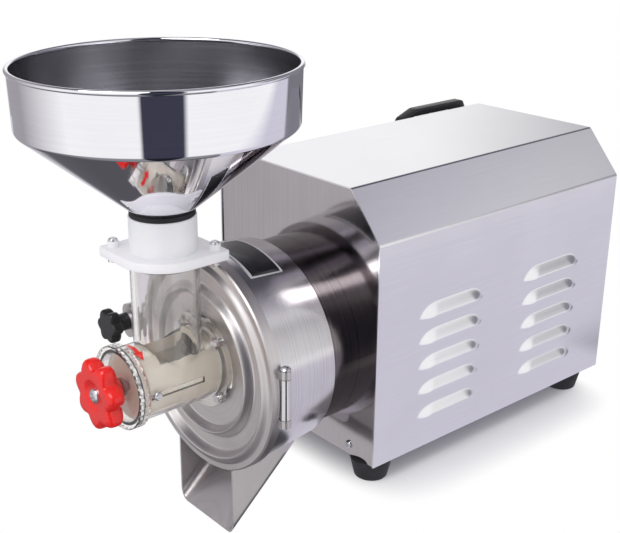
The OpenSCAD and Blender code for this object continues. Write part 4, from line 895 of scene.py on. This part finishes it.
def screw(bm, seat, out, head, length):
    """Adds a screw whose head lies on seat and faces out, built upright in a mesh of its own."""
    one = bmesh.new()
    profile = [(0, -length), (SHANK, -length), (SHANK, 0), (head, 0), (head, SCREW_CROWN * 0.5),
               (head * 0.66, SCREW_CROWN)]
    lathe(one, [(r, 0, z) for r, z in profile], {4: 0.25 * head}, (0, 0, 0), upright, 24,
          closed=False)
    bmesh.ops.remove_doubles(one, verts=one.verts, dist=0.001)
    ring = [edge for edge in one.edges if len(edge.link_faces) == 1]
    arm, half = head * 0.42, head * 0.11
    quarter, outline = [(arm, -half), (arm, half), (half, half)], []
    for _ in range(4):
        outline += quarter
        quarter = [(-y, x) for x, y in quarter]
    wire(one, [(x, y, SCREW_CROWN) for x, y in outline])
    cross = [edge for edge in one.edges if not edge.link_faces]
    bmesh.ops.subdivide_edges(one, edges=cross, cuts=1)
    cross = [edge for edge in one.edges if not edge.link_faces]
    bmesh.ops.bridge_loops(one, edges=ring + cross)
    floor = bmesh.ops.contextual_create(one, geom=cross)["faces"]
    sunk = verts_of(bmesh.ops.extrude_face_region(one, geom=floor)["geom"])
    bmesh.ops.translate(one, vec=(0, 0, -0.2 * SCREW_CROWN), verts=sunk)
    bmesh.ops.scale(one, vec=(0.75, 0.75, 1), verts=sunk)
    bmesh.ops.delete(one, geom=floor, context="FACES_ONLY")
    turned = Vector(upright).rotation_difference(Vector(out)).to_matrix().to_4x4()
    one.transform(Matrix.Translation(seat) @ turned)
    made = bpy.data.meshes.new("screw")
    one.to_mesh(made)
    one.free()
    bm.from_mesh(made)
    bpy.data.meshes.remove(made)


print("screw crown", SCREW_CROWN, "mm")

# %% [markdown]
# The same screw holds the box's two end panels and the hopper's seat, runs as a key in the barrel's
# slot and, with a wider head, holds the handwheel on its spindle.

# %% All visible screws
PAN_HEAD, WHEEL_HEAD = 4.3, 7.3
PANEL_INSET, PANEL_SCREW_X, PANEL_SCREW_Z = 1.2, 85, 33
KEY_OUT, KEY_AT = 36.5, -190
forward, rearward, sideways = (0, -1, 0), (0, 1, 0), (1, 0, 0)
bm = bmesh.new()
for x in (-PANEL_SCREW_X, PANEL_SCREW_X):
    for y, out in ((PANEL_INSET, forward), (HOOD_LENGTH - PANEL_INSET, rearward)):
        screw(bm, (x, y, PANEL_SCREW_Z), out, PAN_HEAD, length=8)
piece("panel_fixings", bm, fastener_steel, "machine", "fastener_steel", "panel_screws", sharp=35)
bm = bmesh.new()
for place_on in (-BOSS_AT, BOSS_AT):
    screw(bm, (place_on, FEED + place_on, BOSS_TOP), upright, PAN_HEAD, length=20)
piece("seat_fixings", bm, fastener_steel, "door", "fastener_steel", "seat_screws", sharp=35)
bm = bmesh.new()
screw(bm, (0, WHEEL_HUB_END, SHAFT), forward, WHEEL_HEAD, length=10)
piece("wheel_fixing", bm, fastener_steel, "knob", "fastener_steel", "knob_screw", sharp=35)
bm = bmesh.new()
screw(bm, (KEY_OUT, KEY_AT, SHAFT), sideways, PAN_HEAD, length=14)
piece("slot_fixing", bm, fastener_steel, "sleeve", "fastener_steel", "guide_screw", sharp=35)

# %% [markdown]
# The plate on the drum is bare: black lacquer with a bright printed border. A grid is bent to the
# drum's taper, and an inset of its region makes the border, which gets the second finish.

# %% Bare plate
DRUM_REAR, DRUM_LONG, DRUM_SMALL, DRUM_FLARE = -36, 69, 103, 6
PLATE_FROM, PLATE_SPAN = -11, 40
PLATE_FRONT, PLATE_LONG, PLATE_THICK, PLATE_BORDER = -94.7, 38, 0.8, 2
bm = bmesh.new()
bmesh.ops.create_grid(bm, x_segments=24, y_segments=4, size=0.5)
for vert in bm.verts:
    lean = radians(PLATE_FROM + PLATE_SPAN * (vert.co.x + 0.5))
    y = PLATE_FRONT + PLATE_LONG * (vert.co.y + 0.5)
    radius = DRUM_SMALL + DRUM_FLARE * (DRUM_REAR - y) / DRUM_LONG + PLATE_THICK
    vert.co = (radius * sin(lean), y, SHAFT + radius * cos(lean))
border = bmesh.ops.inset_region(bm, faces=bm.faces[:], thickness=PLATE_BORDER,
                                use_even_offset=True, use_boundary=True)["faces"]
for face in border:
    face.material_index = 1
bm.normal_update()
bmesh.ops.reverse_faces(bm, faces=[face for face in bm.faces if face.normal.z < 0])
plate = piece("bare_plate", bm, plate_black, "machine", "plate_black", "blank_plate",
              outward=False)
plate.data.materials.append(plate_border)
thin = plate.modifiers.new("plate", "SOLIDIFY")
thin.thickness, thin.offset = PLATE_THICK * MM, -1
